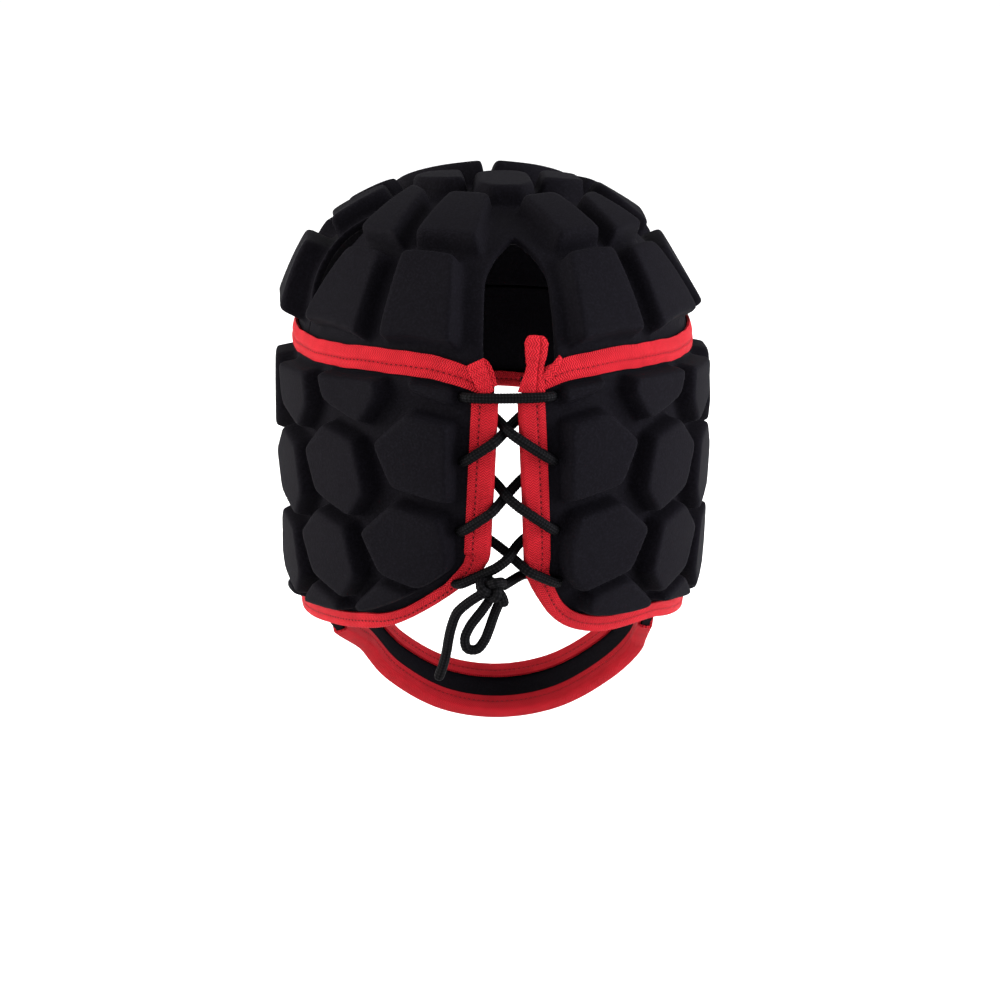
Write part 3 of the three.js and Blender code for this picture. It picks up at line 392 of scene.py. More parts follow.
# Making pieces.
def alone(piece):
    bpy.ops.object.select_all(action="DESELECT")
    piece.select_set(True)
    bpy.context.view_layer.objects.active = piece


def modify(piece, kind, **settings):
    alone(piece)
    made = piece.modifiers.new(kind.lower(), kind)
    for key, value in settings.items():
        setattr(made, key, value)
    bpy.ops.object.modifier_apply(modifier=made.name)


def weld(piece):
    """Closes doubled points and turns all faces outwards."""
    alone(piece)
    bpy.ops.object.mode_set(mode="EDIT")
    bpy.ops.mesh.select_all(action="SELECT")
    bpy.ops.mesh.remove_doubles(threshold=0.02 * MM)
    bpy.ops.mesh.normals_make_consistent(inside=False)
    bpy.ops.object.mode_set(mode="OBJECT")


def smooth_shade(piece, angle=50):
    alone(piece)
    bpy.ops.object.shade_smooth_by_angle(angle=math.radians(angle))


def thicken(piece, thickness):
    """Gives a sheet its thickness, half to each side."""
    modify(piece, "SOLIDIFY", thickness=thickness * MM, offset=0)
    weld(piece)
    smooth_shade(piece)


def settle(piece, material, slot, *nodes):
    piece.data.materials.clear()
    piece.data.materials.append(material)
    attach(piece, "root")
    if nodes:
        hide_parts(*nodes)
    return piece


def mesh_piece(name, points, faces):
    """A closed mesh of points in millimetres."""
    mesh = bpy.data.meshes.new(name)
    mesh.from_pydata((points * MM).tolist(), [], faces)
    piece = bpy.data.objects.new(name, mesh)
    bpy.context.scene.collection.objects.link(piece)
    weld(piece)
    return piece


def grid_piece(name, columns, rows, place):
    """A flat grid laid out by place, which gives each point and its place on the flat cloth."""
    bpy.ops.object.select_all(action="DESELECT")
    bpy.ops.mesh.primitive_grid_add(x_subdivisions=columns, y_subdivisions=rows, size=1)
    piece = bpy.context.object
    piece.name = name
    mesh = piece.data
    flat = np.empty(len(mesh.vertices) * 3)
    mesh.vertices.foreach_get("co", flat)
    u, v = (flat.reshape(-1, 3)[:, :2] + 0.5).T
    points, cloth = place(u, v)
    mesh.vertices.foreach_set("co", (points * MM).ravel())
    corners = np.empty(len(mesh.loops), np.int32)
    mesh.loops.foreach_get("vertex_index", corners)
    mesh.uv_layers.active.data.foreach_set("uv", (cloth[corners] * UV_PER_MM).ravel())
    mesh.update()
    return piece


def frames_along(way, closed=False):
    """Two directions across a line at each of its points, that turn as little as they can."""
    ahead = ahead_along(way, closed)
    side = np.cross(ahead[0], (0, 0, 1) if abs(ahead[0][2]) < 0.8 else (1, 0, 0))
    across = []
    for way_on in ahead:
        side = side - way_on * side.dot(way_on)
        side /= np.linalg.norm(side)
        across.append(side)
    across = np.array(across)
    return across, np.cross(ahead, across)


CORD_SIDES = 20
# Round pieces are shaded smooth across all angles up to this one.
ROUND_ANGLE = 80


def cord_piece(name, way, diameter, closed=False):
    """A braided cord along a way, with rounded ends."""
    steps = len(way) - 1
    across, up = frames_along(way[:-1] if closed else way, closed)
    if closed:
        across, up = np.vstack([across, across[:1]]), np.vstack([up, up[:1]])
    length = length_of(way)
    radius = diameter / 2

    def place(u, v):
        i = np.rint(u * steps).astype(int)
        turn = 2 * math.pi * v
        gone = u * length
        end = np.full_like(u, radius) if closed else np.minimum(np.minimum(u, 1 - u) * length, radius)
        tip = np.sqrt(np.clip(1 - (1 - end / radius) ** 2, 0, 1))
        twist = 2 * math.pi * gone / BRAID_PITCH
        braid = BRAID_DEPTH * np.sin(BRAID_YARNS * turn + twist) * np.sin(BRAID_YARNS * turn - twist)
        out = (radius - BRAID_DEPTH + braid) * tip
        points = way[i] + across[i] * (out * np.cos(turn))[:, None] + up[i] * (out * np.sin(turn))[:, None]
        return points, np.stack([gone, turn * radius], axis=1)

    piece = grid_piece(name, steps, CORD_SIDES, place)
    weld(piece)
    smooth_shade(piece, ROUND_ANGLE)
    return piece


# Camera and the free cords.
def make_camera():
    lens = bpy.data.cameras.new("camera")
    lens.lens = CAMERA_LENS
    lens.sensor_width = CAMERA_SENSOR
    camera = bpy.data.objects.new("camera", lens)
    bpy.context.scene.collection.objects.link(camera)
    camera.location = Vector(CAMERA_PLACE) * MM
    sight = (Vector(CAMERA_TARGET) - Vector(CAMERA_PLACE)).to_track_quat("-Z", "Y")
    camera.rotation_euler = sight.to_euler()
    lens.clip_end = 100
    bpy.context.scene.camera = camera


make_camera()
LACE_CORD = black_lace()
CORD_SPACING = 0.4
LOOP = smooth_way(LOOP_WAY, CORD_SPACING)
TAIL = smooth_way(TAIL_WAY, CORD_SPACING)
loop = settle(cord_piece("lace_loop_cord", LOOP, LACE), LACE_CORD, "black_lace", "lace_loop")
tail = settle(cord_piece("lace_tail_cord", TAIL, LACE), LACE_CORD, "black_lace", "lace_tail")

# The head form.
ROUND_ANGLES = np.radians(np.arange(0, 181.5, 0.5))
ROUND_DEPTHS = np.where(ROUND_ANGLES < math.pi / 2, BACK_DEPTH, FRONT_DEPTH) + WALL
ROUND_STEPS = np.hypot((HALF_WIDTH + WALL) * np.cos(ROUND_ANGLES), ROUND_DEPTHS * np.sin(ROUND_ANGLES))
ROUND_LENGTHS = np.concatenate([[0], np.cumsum(ROUND_STEPS * np.radians(0.5))[:-1]])
HALF_GIRTH = float(np.interp(math.pi, ROUND_ANGLES, ROUND_LENGTHS))
NUDGE = 0.05
MIDDLE = np.array([0, 0, -CROWN_RISE])


def level_at(up):
    return (1 - up ** CROWN_SQUARENESS) ** (1 / CROWN_SQUARENESS)


def side_form(along, height):
    angle = np.sign(along) * np.interp(np.abs(along), ROUND_LENGTHS, ROUND_ANGLES)
    level = level_at(np.maximum(0, (height + CROWN_RISE) / CROWN_RISE))
    fall = np.maximum(0, -height - CROWN_RISE) / NAPE_DROP
    depth = np.where(np.cos(angle) > 0, BACK_DEPTH, FRONT_DEPTH)
    x = HALF_WIDTH * level * (1 - NAPE_NARROWING * fall ** 2) * np.sin(angle)
    y = depth * level * (1 - NAPE_HOLLOW * fall ** 2) * np.cos(angle)
    return np.stack([x, y, height + 0 * x], axis=-1)


def crown_size(fall):
    """How far the crown reaches at a fall from the top, as a share of a round crown."""
    return (np.sin(fall) ** CROWN_SQUARENESS + np.cos(fall) ** CROWN_SQUARENESS) ** (-1 / CROWN_SQUARENESS)


def crown_form(left, behind):
    depth = np.where(behind > 0, BACK_DEPTH, FRONT_DEPTH)
    across, back = left / HALF_WIDTH, behind / depth
    fall = np.maximum(np.hypot(across, back), 1e-9)
    size = crown_size(fall)
    level = np.sin(fall) * size / fall
    height = CROWN_RISE * (np.cos(fall) * size - 1)
    return np.stack([HALF_WIDTH * level * across, depth * level * back, height], axis=-1)


def normals(form, p, q):
    one = form(p + NUDGE, q) - form(p - NUDGE, q)
    other = form(p, q + NUDGE) - form(p, q - NUDGE)
    normal = np.cross(one, other)
    normal /= np.linalg.norm(normal, axis=-1, keepdims=True)
    outward = np.sum(normal * (form(p, q) - MIDDLE), axis=-1, keepdims=True)
    return normal * np.sign(outward)


def off(form, p, q, rise):
    p, q = np.asarray(p, float), np.asarray(q, float)
    return form(p, q) + normals(form, p, q) * np.asarray(rise, float)[..., None]


def on_side(along, height, rise):
    return off(side_form, along, height, rise)


def seam_height(along):
    return np.interp(np.abs(along), *zip(*SEAM))


def tape_height(along):
    """Height of the crown tape's middle, which is on the seam but for its two ends."""
    near = np.clip(1 - (np.abs(along) - CROWN_TAPE_START) / END_REACH, 0, 1)
    return seam_height(along) - END_DROOP * near ** 1.5


def fall_at(height):
    up = (height + CROWN_RISE) / CROWN_RISE
    return np.arctan2(level_at(up), up)


def crown_flat(angle, fall):
    """A flat place of the crown, for an angle from its back line and a fall from the top in degrees."""
    turned = np.radians(np.asarray(angle, float) + CROWN_TWIST)
    depth = np.where(np.cos(turned) > 0, BACK_DEPTH, FRONT_DEPTH)
    fallen = np.radians(fall)
    return np.stack([HALF_WIDTH * fallen * np.sin(turned), depth * fallen * np.cos(turned)], axis=-1)


# Outlines in the flat.
def turned_area(outline):
    after = np.roll(outline, -1, axis=0)
    return 0.5 * float(np.sum(outline[:, 0] * after[:, 1] - outline[:, 1] * after[:, 0]))


def inward_edges(outline):
    way = np.roll(outline, -1, axis=0) - outline
    way /= np.linalg.norm(way, axis=1, keepdims=True)
    return np.stack([-way[:, 1], way[:, 0]], axis=1) * np.sign(turned_area(outline))


def keep_left(outline, a, b, margin):
    """The part of a convex outline left of the line from a to b by a margin."""
    inward = np.array([a[1] - b[1], b[0] - a[0]])
    inward = inward / np.linalg.norm(inward)
    kept = []
    for p, after in zip(outline, np.roll(outline, -1, axis=0)):
        here, there = inward.dot(p - a) - margin, inward.dot(after - a) - margin
        if here >= 0:
            kept.append(p)
        if (here >= 0) != (there >= 0):
            kept.append(p + (after - p) * here / (here - there))
    return np.array(kept).reshape(-1, 2)


def inside(points, outline):
    """Whether points lie in an outline."""
    found = np.zeros(len(points), bool)
    for a, b in zip(outline, np.roll(outline, -1, axis=0)):
        spans = (a[1] > points[:, 1]) != (b[1] > points[:, 1])
        rise = b[1] - a[1] if b[1] != a[1] else 1e-9
        found ^= spans & (points[:, 0] < a[0] + (points[:, 1] - a[1]) * (b[0] - a[0]) / rise)
    return found


def nearest(points, outline, closed=True):
    """The nearest places on an outline to points."""
    best, least = np.zeros_like(points), np.full(len(points), np.inf)
    ends = np.roll(outline, -1, axis=0) if closed else outline[1:]
    for a, b in zip(outline, ends):
        share = np.clip((points - a) @ (b - a) / max((b - a).dot(b - a), 1e-12), 0, 1)
        place = a + share[:, None] * (b - a)
        away = np.linalg.norm(points - place, axis=1)
        closer = away < least
        best[closer], least[closer] = place[closer], away[closer]
    return best, least


# Padded panels: a fine sheet whose pads rise out of it, closed and given soft edges.
def pad_rises(form, flat, pads, limit=None):
    """How far pads lift the outside at flat places. Each pad is an outline and a height."""
    rises = np.zeros(len(flat))
    depths, shares = zip(*PAD_PROFILE)
    for outline, height in pads:
        after = np.roll(outline, -1, axis=0)
        breadth = 2 * abs(turned_area(outline)) / np.linalg.norm(after - outline, axis=1).sum()
        slim = min(1, breadth / FULL_BREADTH)
        near = np.all((flat > outline.min(0) - PAD_FOOT) & (flat < outline.max(0) + PAD_FOOT), axis=1)
        if not near.any():
            continue
        here = flat[near]
        inward = inward_edges(outline)
        deep = np.einsum("nij,ij->ni", here[:, None] - outline[None], inward)
        if limit is not None:
            deep = np.column_stack([deep, limit[near]])
        least = deep.min(axis=1)
        edges_near = np.exp(-(deep - least[:, None]) / CORNER_SOFTNESS).sum(axis=1)
        depth = least - CORNER_SOFTNESS * np.log(edges_near)
        top = WALL + height * slim
        middle = outline.mean(axis=0)
        rim = middle + (outline - middle) * FACE_RIM
        face = off(form, rim[:, 0], rim[:, 1], np.full(len(rim), top)).mean(axis=0)
        up = normals(form, *middle[:, None])[0]
        flatly = (face - form(here[:, 0], here[:, 1])) @ up / (normals(form, here[:, 0], here[:, 1]) @ up)
        flatly = np.clip(flatly, top - FACE_LIMIT, top + FACE_LIMIT)
        full = top + PAD_FLATNESS * (flatly - top) - WALL
        lift = full * np.interp(depth / slim, depths, shares)
        rises[near] = np.maximum(rises[near], lift)
    return rises


def cut_out(flat, quads, outline):
    """Cuts an outline out of a flat grid, with the grid's points drawn onto its edge."""
    gone = inside(flat[quads].mean(axis=1), outline)
    border = np.intersect1d(quads[gone], quads[~gone])
    moved = flat.copy()
    moved[border] = nearest(flat[border], outline)[0]
    return moved, quads[~gone]


def grid_quads(rows, columns, round_it=False):
    i, j = np.meshgrid(np.arange(rows if round_it else rows - 1), np.arange(columns - 1), indexing="ij")
    here, after = i * columns + j, (i + 1) % rows * columns + j
    return np.stack([here, after, after + 1, here + 1], axis=-1).reshape(-1, 4)


def padded_panel(name, form, flat, quads, rises, lift=0, flipped=False, voxel=VOXEL):
    """A closed panel over flat places of a form, remade in even small faces with soft edges."""
    used, index = np.unique(quads, return_inverse=True)
    quads = index.reshape(-1, 4)
    count = len(used)
    outer = off(form, *flat.T, WALL + rises + lift)
    inner = off(form, *flat.T, 0 * rises + lift)
    points = np.vstack([outer[used], inner[used]])
    if flipped:
        points = points * (-1, 1, 1)
    sides = np.concatenate([quads[:, [k, (k + 1) % 4]] for k in range(4)])
    _, first, counts = np.unique(np.sort(sides, axis=1), axis=0, return_index=True, return_counts=True)
    a, b = sides[first[counts == 1]].T
    faces = np.concatenate([quads, quads[:, ::-1] + count, np.stack([b, a, a + count, b + count], axis=1)])
    piece = mesh_piece(name, points, faces.tolist())
    piece.data.remesh_voxel_size = voxel * MM
    bpy.ops.object.voxel_remesh()
    modify(piece, "SMOOTH", factor=0.5, iterations=SMOOTHING)
    alone(piece)
    bpy.ops.object.shade_smooth()
    return piece


# Crown.
SPOKES = 520
RINGS = 100
SIDE_ROWS = 84
SIDE_COLUMNS = 62
VENT_SPACING = 1.5
VENT_ROUNDS = 6


def vent_outline():
    """The vent on the crown's flat, from its shape as seen from behind."""
    half = smooth_way([(w, z) for z, w in VENT_SHAPE], VENT_SPACING)
    seen = np.vstack([half, (half * (-1, 1))[::-1]]) + (VENT_MIDDLE, 0)
    goal_x, goal_z = seen.T
    x, z = goal_x.copy(), goal_z.copy()
    # The outline lies off the head form, so its place there is corrected until it is seen as it should be.
    for _ in range(VENT_ROUNDS):
        fall = fall_at(np.minimum(z, -0.2))
        level = HALF_WIDTH * np.sin(fall) * crown_size(fall)
        turned = np.arcsin(np.clip(x / level, -0.95, 0.95))
        flat = np.stack([HALF_WIDTH * fall * np.sin(turned), BACK_DEPTH * fall * np.cos(turned)], axis=1)
        made = off(crown_form, flat[:, 0], flat[:, 1], np.full(len(flat), WALL))
        x, z = x + goal_x - made[:, 0], z + goal_z - made[:, 2]
    return flat


def dart_share(fall):
    share = (fall - DART_FROM) / (DART_TO - DART_FROM)
    return np.where((share > 0) & (share < 1), np.sin(np.pi * share), 0)


def side_back(fall):
    return np.interp(fall, SIDE_FALLS, SIDE_BACKS)


def degree_at(fall):
    return np.linalg.norm(crown_flat(90, fall) - crown_flat(91, fall), axis=-1)


def side_room(side):
    """The part of the crown's flat that a crown side panel and its dart take up."""
    falls = np.linspace(SIDE_FALLS[0] - GAP, SIDE_FALLS[-1], 60)
    grow = 2 * GAP / degree_at(falls)
    back = side_back(falls) - grow - DARTS[side]["width"] * dart_share(falls) / degree_at(falls)
    edge = crown_flat(side * back, falls)
    front = crown_flat(side * (SIDE_FRONT + grow), falls)
    return np.vstack([edge, front[::-1]])


def crown_pad(row, side):
    low, low_fall, high, high_fall = row
    angles = np.array([low[0], low[1], high[1], high[0]])
    return crown_flat(side * angles, np.array([low_fall, low_fall, high_fall, high_fall]))


def make_crown(cloth):
    angles = np.radians(-180 + 360 * np.arange(SPOKES) / SPOKES)
    along = np.interp(np.abs(angles), ROUND_ANGLES, ROUND_LENGTHS)
    falls = fall_at(seam_height(along) + GAP)[:, None] * np.linspace(0, 1, RINGS + 1)
    depth = np.where(np.cos(angles) > 0, BACK_DEPTH, FRONT_DEPTH)
    left = HALF_WIDTH * falls * np.sin(angles)[:, None]
    behind = falls * (depth * np.cos(angles))[:, None]
    flat = np.stack([left, behind], axis=-1).reshape(-1, 2)
    quads = grid_quads(SPOKES, RINGS + 1, True)
    for outline in (vent_outline(), side_room(1), side_room(-1)):
        flat, quads = cut_out(flat, quads, outline)
    pads = [(crown_pad(row, side), PAD_HEIGHT) for sides, *row in CROWN_PADS for side in sides]
    pads.append((np.array(TOP_PAD) + TOP_MIDDLE, PAD_HEIGHT))
    for side in (1, -1):
        pads.append((np.array(TOP_SIDE_PAD) * (side, 1) + TOP_MIDDLE, PAD_HEIGHT))
        pads.append((np.array(TOP_FRONT_PAD) * (side, 1), FRONT_PAD_HEIGHT))
    rises = pad_rises(crown_form, flat, pads)
    panel = padded_panel("crown_cloth", crown_form, flat, quads, rises, voxel=CROWN_VOXEL)
    settle(panel, cloth, "pad_cloth", "crown_panel")


def make_crown_side(side, name, cloth):
    dart = DARTS[side]
    edge_fall = math.degrees(float(fall_at(seam_height(SIDE_PLACE) + GAP)))
    rows = np.linspace(SIDE_FALLS[0], edge_fall, SIDE_ROWS)
    columns = np.linspace(0, 1, SIDE_COLUMNS)
    falls, shares = (part.ravel() for part in np.meshgrid(rows, columns, indexing="ij"))
    back = side_back(falls)
    angles = back + (SIDE_FRONT - back) * shares
    near = np.clip(1 - (angles - back) / dart["reach"], 0, 1)
    lift = dart["lift"] * near ** 2 * dart_share(falls)
    flat = crown_flat(side * angles, falls)
    pads = [
        (crown_pad(LOW_SIDE_PAD, side), PAD_HEIGHT + dart["swell"]),
        (crown_pad(HIGH_SIDE_PAD, side), PAD_HEIGHT),
    ]
    rises = pad_rises(crown_form, flat, pads)
    quads = grid_quads(SIDE_ROWS, SIDE_COLUMNS)
    panel = padded_panel(name + "_cloth", crown_form, flat, quads, rises, lift)
    settle(panel, cloth, "pad_cloth", name)


# Side panels.
FACE_MIDDLE = LOWER_EDGE[-1][0]
PANEL_ROWS = 112
EDGE_SPACING = 1
# How far panels and bindings go on past the front middle, so that the seam there shuts.
PANEL_PAST_MIDDLE = 0.5
BINDING_PAST_MIDDLE = 0.1


def lower_edge(side, past_middle):
    """The panel's lower edge, on to the front seam and a little past it."""
    edge = smooth_way([(row[0], row[1 if side > 0 else 2]) for row in LOWER_EDGE], EDGE_SPACING)
    return np.vstack([edge, (HALF_GIRTH + past_middle, edge[-1, 1])])


def leaned(along, share):
    fade = np.maximum(0, 1 - (along - LOWER_EDGE[0][0]) / (2 * PAD_LACE_MARGIN))
    return along - LACE_EDGE_LEAN * fade * (1 - share)


def honeycomb(edge):
    cells = []
    for peak in PAD_PEAKS:
        for column in PAD_COLUMNS:
            whole = np.array(PAD_CORNERS) + peak + column * np.array(COLUMN_STEP)
            cell = cut_to_panel(edge, whole)
            if len(cell) > 2 and abs(turned_area(cell)) > SMALLEST_PAD:
                cells.append(cell)
    return cells


def cut_to_panel(edge, cell):
    near, far = cell[:, 0].min(), min(FACE_MIDDLE, cell[:, 0].max())
    if far < PAD_LACE_MARGIN or near >= far:
        return cell[:0]
    low = np.interp([near, far], edge[:, 0], edge[:, 1])
    seam_margin = PAD_SEAM_MARGIN + PAD_SEAM_SPREAD * min(near, SIDE_PLACE)
    lines = (
        ((0, 0), (0, -1), PAD_LACE_MARGIN),
        ((FACE_MIDDLE, 0), (FACE_MIDDLE, 1), PAD_FACE_MARGIN),
        ((far, seam_height(far)), (near, seam_height(near)), seam_margin),
        ((near, low[0]), (far, low[1]), PAD_RIM_CUT),
    )
    for a, b, margin in lines:
        cell = keep_left(cell, np.array(a, float), np.array(b, float), margin)
        if len(cell) < 3:
            return cell
    after = np.roll(cell, -1, axis=0)
    return cell[np.linalg.norm(after - cell, axis=1) > SHORTEST_EDGE]


def oval(middle, half, count=64):
    turn = -2 * math.pi * np.arange(count) / count
    return np.stack([middle[0] + half[0] * np.cos(turn), middle[1] + half[1] * np.sin(turn)], axis=1)


def make_side_panel(side, name, cloth):
    edge = lower_edge(side, PANEL_PAST_MIDDLE)
    shares = np.linspace(0, 1, PANEL_ROWS + 1)
    head = seam_height(edge[:, 0]) - GAP
    along = leaned(edge[:, :1], shares[None])
    height = head[:, None] + (edge[:, 1] - head)[:, None] * shares
    flat = np.stack([along, height], axis=-1).reshape(-1, 2)
    quads = grid_quads(len(edge), PANEL_ROWS + 1)
    ear = oval(EAR_MIDDLE, EAR_HALF)
    holes = [oval(hole[:2], (LACE_HOLE_RADIUS, LACE_HOLE_RADIUS), 24) for hole in LACE_HOLES]
    for outline in (ear, *holes):
        flat, quads = cut_out(flat, quads, outline)
    clear_of_ear = nearest(flat, ear)[1] - EAR_PAD_MARGIN
    clear_of_rim = nearest(flat, edge[::3], False)[1] - PAD_EDGE_MARGIN
    beside_ear = oval(EAR_MIDDLE, np.add(EAR_HALF, EAR_PAD_MARGIN))
    cells = [cell for cell in honeycomb(edge) if not inside(cell.mean(axis=0)[None], beside_ear)[0]]
    pads = [(cell, PAD_HEIGHT) for cell in cells]
    rises = pad_rises(side_form, flat, pads, np.minimum(clear_of_ear, clear_of_rim))
    panel = padded_panel(name + "_cloth", side_form, flat, quads, rises, flipped=side < 0)
    settle(panel, cloth, "pad_cloth", name)


# Tapes.
def stitch_places(length):
    """The stitches of a run, as shares of its length."""
    count = round(length / STITCH_PITCH)
    return (np.arange(count) + 0.5) / count


def even(width):
    """One width all along a run."""
    return lambda u: np.full_like(u, width)


class Tape:
    """A tape along a run of stations, each a place and the way inwards, on a form or on the strap."""

    def __init__(self, name, at, length, width, wall):
        self.name = name
        self.at = at
        self.length = length
        self.width = width
        self.wall = wall

    def section(self, u, v):
        """Depth in from the edge, rise off the inner side and distance from the free edge."""
        wide = self.width(u)
        half = self.wall / 2 + FOLD_GAP + TAPE / 2
        turn = math.pi * half
        whole = 2 * wide + turn
        gone = v * whole
        outer, inner = gone < wide, gone > wide + turn
        bend = np.clip((gone - wide) / half, 0, math.pi)
        fold = -FOLD_BULGE * half * np.sin(bend)
        depth = np.where(outer, wide - gone, np.where(inner, gone - wide - turn, fold))
        rise = self.wall / 2 + half * np.cos(bend)
        return depth, rise, np.minimum(gone, whole - gone)

    def place(self, u, v):
        depth, rise, free = self.section(u, v)
        return self.at(u, depth, rise), np.stack([u * self.length, free], axis=1)

    def make(self, material, *nodes):
        piece = grid_piece(self.name, round(self.length / FOLD_STEP), FOLD_ROWS, self.place)
        weld(piece)
        thicken(piece, TAPE)
        settle(piece, material, "red_tape", *nodes)

    def stitch_line(self):
        u = stitch_places(self.length)
        inwards = self.width(u) - STITCH_INSET
        lift = self.wall + FOLD_GAP + TAPE - STITCH_SINK
        return [self.at(u, inwards, np.full_like(u, lift + above)) for above in (0, 1)]


def stitches(name, lines, material):
    """Short threads lying along lines of places; each line has the places and ones above them."""
    bpy.ops.object.select_all(action="DESELECT")
    bpy.ops.mesh.primitive_uv_sphere_add(segments=6, ring_count=4, radius=1)
    pattern = bpy.context.object
    shape = np.array([v.co for v in pattern.data.vertices])
    faces = [np.array(p.vertices) for p in pattern.data.polygons]
    bpy.data.objects.remove(pattern)
    points, made = [], []
    for middle, above in lines:
        ahead = ahead_along(middle)
        up = square_to(ahead, above - middle)
        side = np.cross(up, ahead)
        for m, a, s, n in zip(middle, ahead, side, up):
            made += [(f + len(points) * len(shape)).tolist() for f in faces]
            flat = m + shape[:, 2:] * STITCH[0] * a + shape[:, :1] * STITCH[1] * s
            points.append(flat + shape[:, 1:2] * STITCH[2] * n)
    piece = mesh_piece(name, np.vstack(points), made)
    smooth_shade(piece, ROUND_ANGLE)
    settle(piece, material, "red_tape")


def along_edge(line, closed, flipped):
    """Stations along an edge in the flat, with the panel on its left."""
    ahead = ahead_along(line, closed)
    if closed:
        line, ahead = np.vstack([line, line[:1]]), np.vstack([ahead, ahead[:1]])
    places = np.linspace(0, 1, len(line))

    def at(u, depth, rise):
        x, y, ax, ay = (np.interp(u, places, c) for c in (*line.T, *ahead.T))
        made = on_side(x - ay * depth, y + ax * depth, rise)
        return made * (-1, 1, 1) if flipped else made

    return at, length_of(line)


LACE_EDGE_STEPS = 69
# Where the nape binding's width changes, as shares of its length from the corner of the lacing.
CORNER_SHARES = (-0.06, 0.05, 0.16, 0.28)


def edge_line(side):
    """The lacing edge from under the crown tape down, and on along the lower edge."""
    edge = lower_edge(side, BINDING_PAST_MIDDLE)
    head = float(tape_height(CROWN_TAPE_START)) - CROWN_TAPE_WIDTH / 2 - 2 * GAP
    share = np.linspace(0, 1, LACE_EDGE_STEPS + 1)[:-1]
    along = leaned(np.full(LACE_EDGE_STEPS, edge[0, 0]), share)
    lace = np.stack([along, head + (edge[0, 1] - head) * share], axis=1)
    return np.vstack([lace, edge])


def make_bindings(side, word, tape, thread):
    line = edge_line(side)
    parting = int(np.argmax(line[:, 0] > NAPE_TO))
    corner = int(np.argmax(line[:, 0] > LOWER_EDGE[0][0] + 2)) / parting

    def nape_width(u):
        widths = [LACE_TAPE_WIDTH, CORNER_TAPE_WIDTH[side], CORNER_TAPE_WIDTH[side], NAPE_TAPE_WIDTH]
        return np.interp(u, corner + np.array(CORNER_SHARES), widths)

    runs = (
        ("nape_binding_", evenly(line[:parting + 1], EDGE_SPACING), nape_width, False),
        ("face_binding_", line[parting:], even(FACE_TAPE_WIDTH), False),
        ("ear_binding_", oval(EAR_MIDDLE, EAR_HALF, 100), even(EAR_TAPE_WIDTH), True),
    )
    lines = []
    for name, run, width, closed in runs:
        at, length = along_edge(run, closed, side < 0)
        made = Tape(name + word + "_tape", at, length, width, WALL)
        made.make(tape, name + word)
        lines.append(made.stitch_line())
    stitches("side_stitches_" + word, lines, thread)


# The crown tape sways a little: how far, over what length and how late.
SWAYS = ((0.12, 4.3, 0), (0.08, 2.1, 1))
# Its upper edge turns in, and more so near its two ends.
TURNED_IN = 0.9
TURNED_IN_AT_END = 1.6
TURNED_IN_REACH = 9
# It is raised along its middle and drawn down along its stitches.
TAPE_SWELL = 0.5
SEWN_DEPTH = 0.4
SEWN_WIDTH = 0.8
CROWN_TAPE_STEPS = 420
TAPE_ROWS = 18


def make_crown_tape(tape, thread):
    whole = 2 * HALF_GIRTH - 2 * CROWN_TAPE_START
    foot = CROWN_TAPE_WIDTH / 2

    def at(u, down, rise):
        along = CROWN_TAPE_START + whole * u
        along = np.where(along > HALF_GIRTH, along - 2 * HALF_GIRTH, along)
        sway = sum(far * np.sin(along / length + late) for far, length, late in SWAYS)
        return on_side(along, tape_height(along) - down + sway, rise)

    def place(u, v):
        near_end = np.exp(-whole * np.minimum(u, 1 - u) / TURNED_IN_REACH)
        width = CROWN_TAPE_WIDTH - (TURNED_IN + TURNED_IN_AT_END * near_end)
        down = foot - (1 - v) * width
        inwards = foot - down
        groove = SEWN_DEPTH * np.exp(-((inwards - STITCH_INSET) / SEWN_WIDTH) ** 2)
        rise = WALL + FOLD_GAP + TAPE / 2 + TAPE_SWELL * (1 - (2 * v - 1) ** 2) - groove
        return at(u, down, rise), np.stack([u * whole, inwards], axis=1)

    piece = grid_piece("crown_seam_tape", CROWN_TAPE_STEPS, TAPE_ROWS, place)
    thicken(piece, TAPE)
    settle(piece, tape, "red_tape", "crown_tape")
    u = stitch_places(whole)
    sewn = np.full_like(u, foot - STITCH_INSET)
    lift = WALL + FOLD_GAP + TAPE
    line = [at(u, sewn, np.full_like(u, lift + above)) for above in (-STITCH_SINK, 1)]
    stitches("crown_tape_stitches", [line], thread)


# Loose ends of the crown tape, as ways of their middle (along, height, rise) with the width at each place.
LEFT_END = (
    (7.5, -57.2, 6.3, 4.6), (9.5, -52.6, 7.5, 5.8), (11.4, -48.2, 7.9, 6.2), (11.7, -46.9, 7.1, 6),
    (10.4, -47.2, 6, 6), (8.4, -50.4, 5.5, 6), (6.6, -55.6, 5.4, 5.6),
)
RIGHT_END = (
    (-8.3, -57.2, 6, 10.2), (-9, -53, 6.2, 8.2), (-9.8, -48.2, 6.4, 6.4), (-10.2, -44, 7.6, 7.9),
    (-10.5, -40, 8.1, 8.1), (-10.6, -38.5, 7.2, 7.6), (-10.5, -39.6, 6.1, 7.8), (-10.2, -43, 5.6, 7.6),
    (-9.8, -47.5, 5.5, 6.4),
)
LOOSE_TIP = (
    (-13.4, -52.6, 6.3, 3.2), (-15.8, -49.8, 7, 2.8), (-17.6, -47.6, 7.5, 1.9), (-19.2, -45.4, 7.8, 0.6),
)
# Their edges curl, a crease runs along one, and its corners are rounded near the top.
EDGE_CURL = 0.25
CREASE_PLACE = 0.66
CREASE_WIDTH = 0.07
ROUNDED_REACH = 4
# Their cloth is taken this far from the row of needle holes, so that they have none.
PLAIN_CLOTH = 20
TAPE_END_STEPS = 60


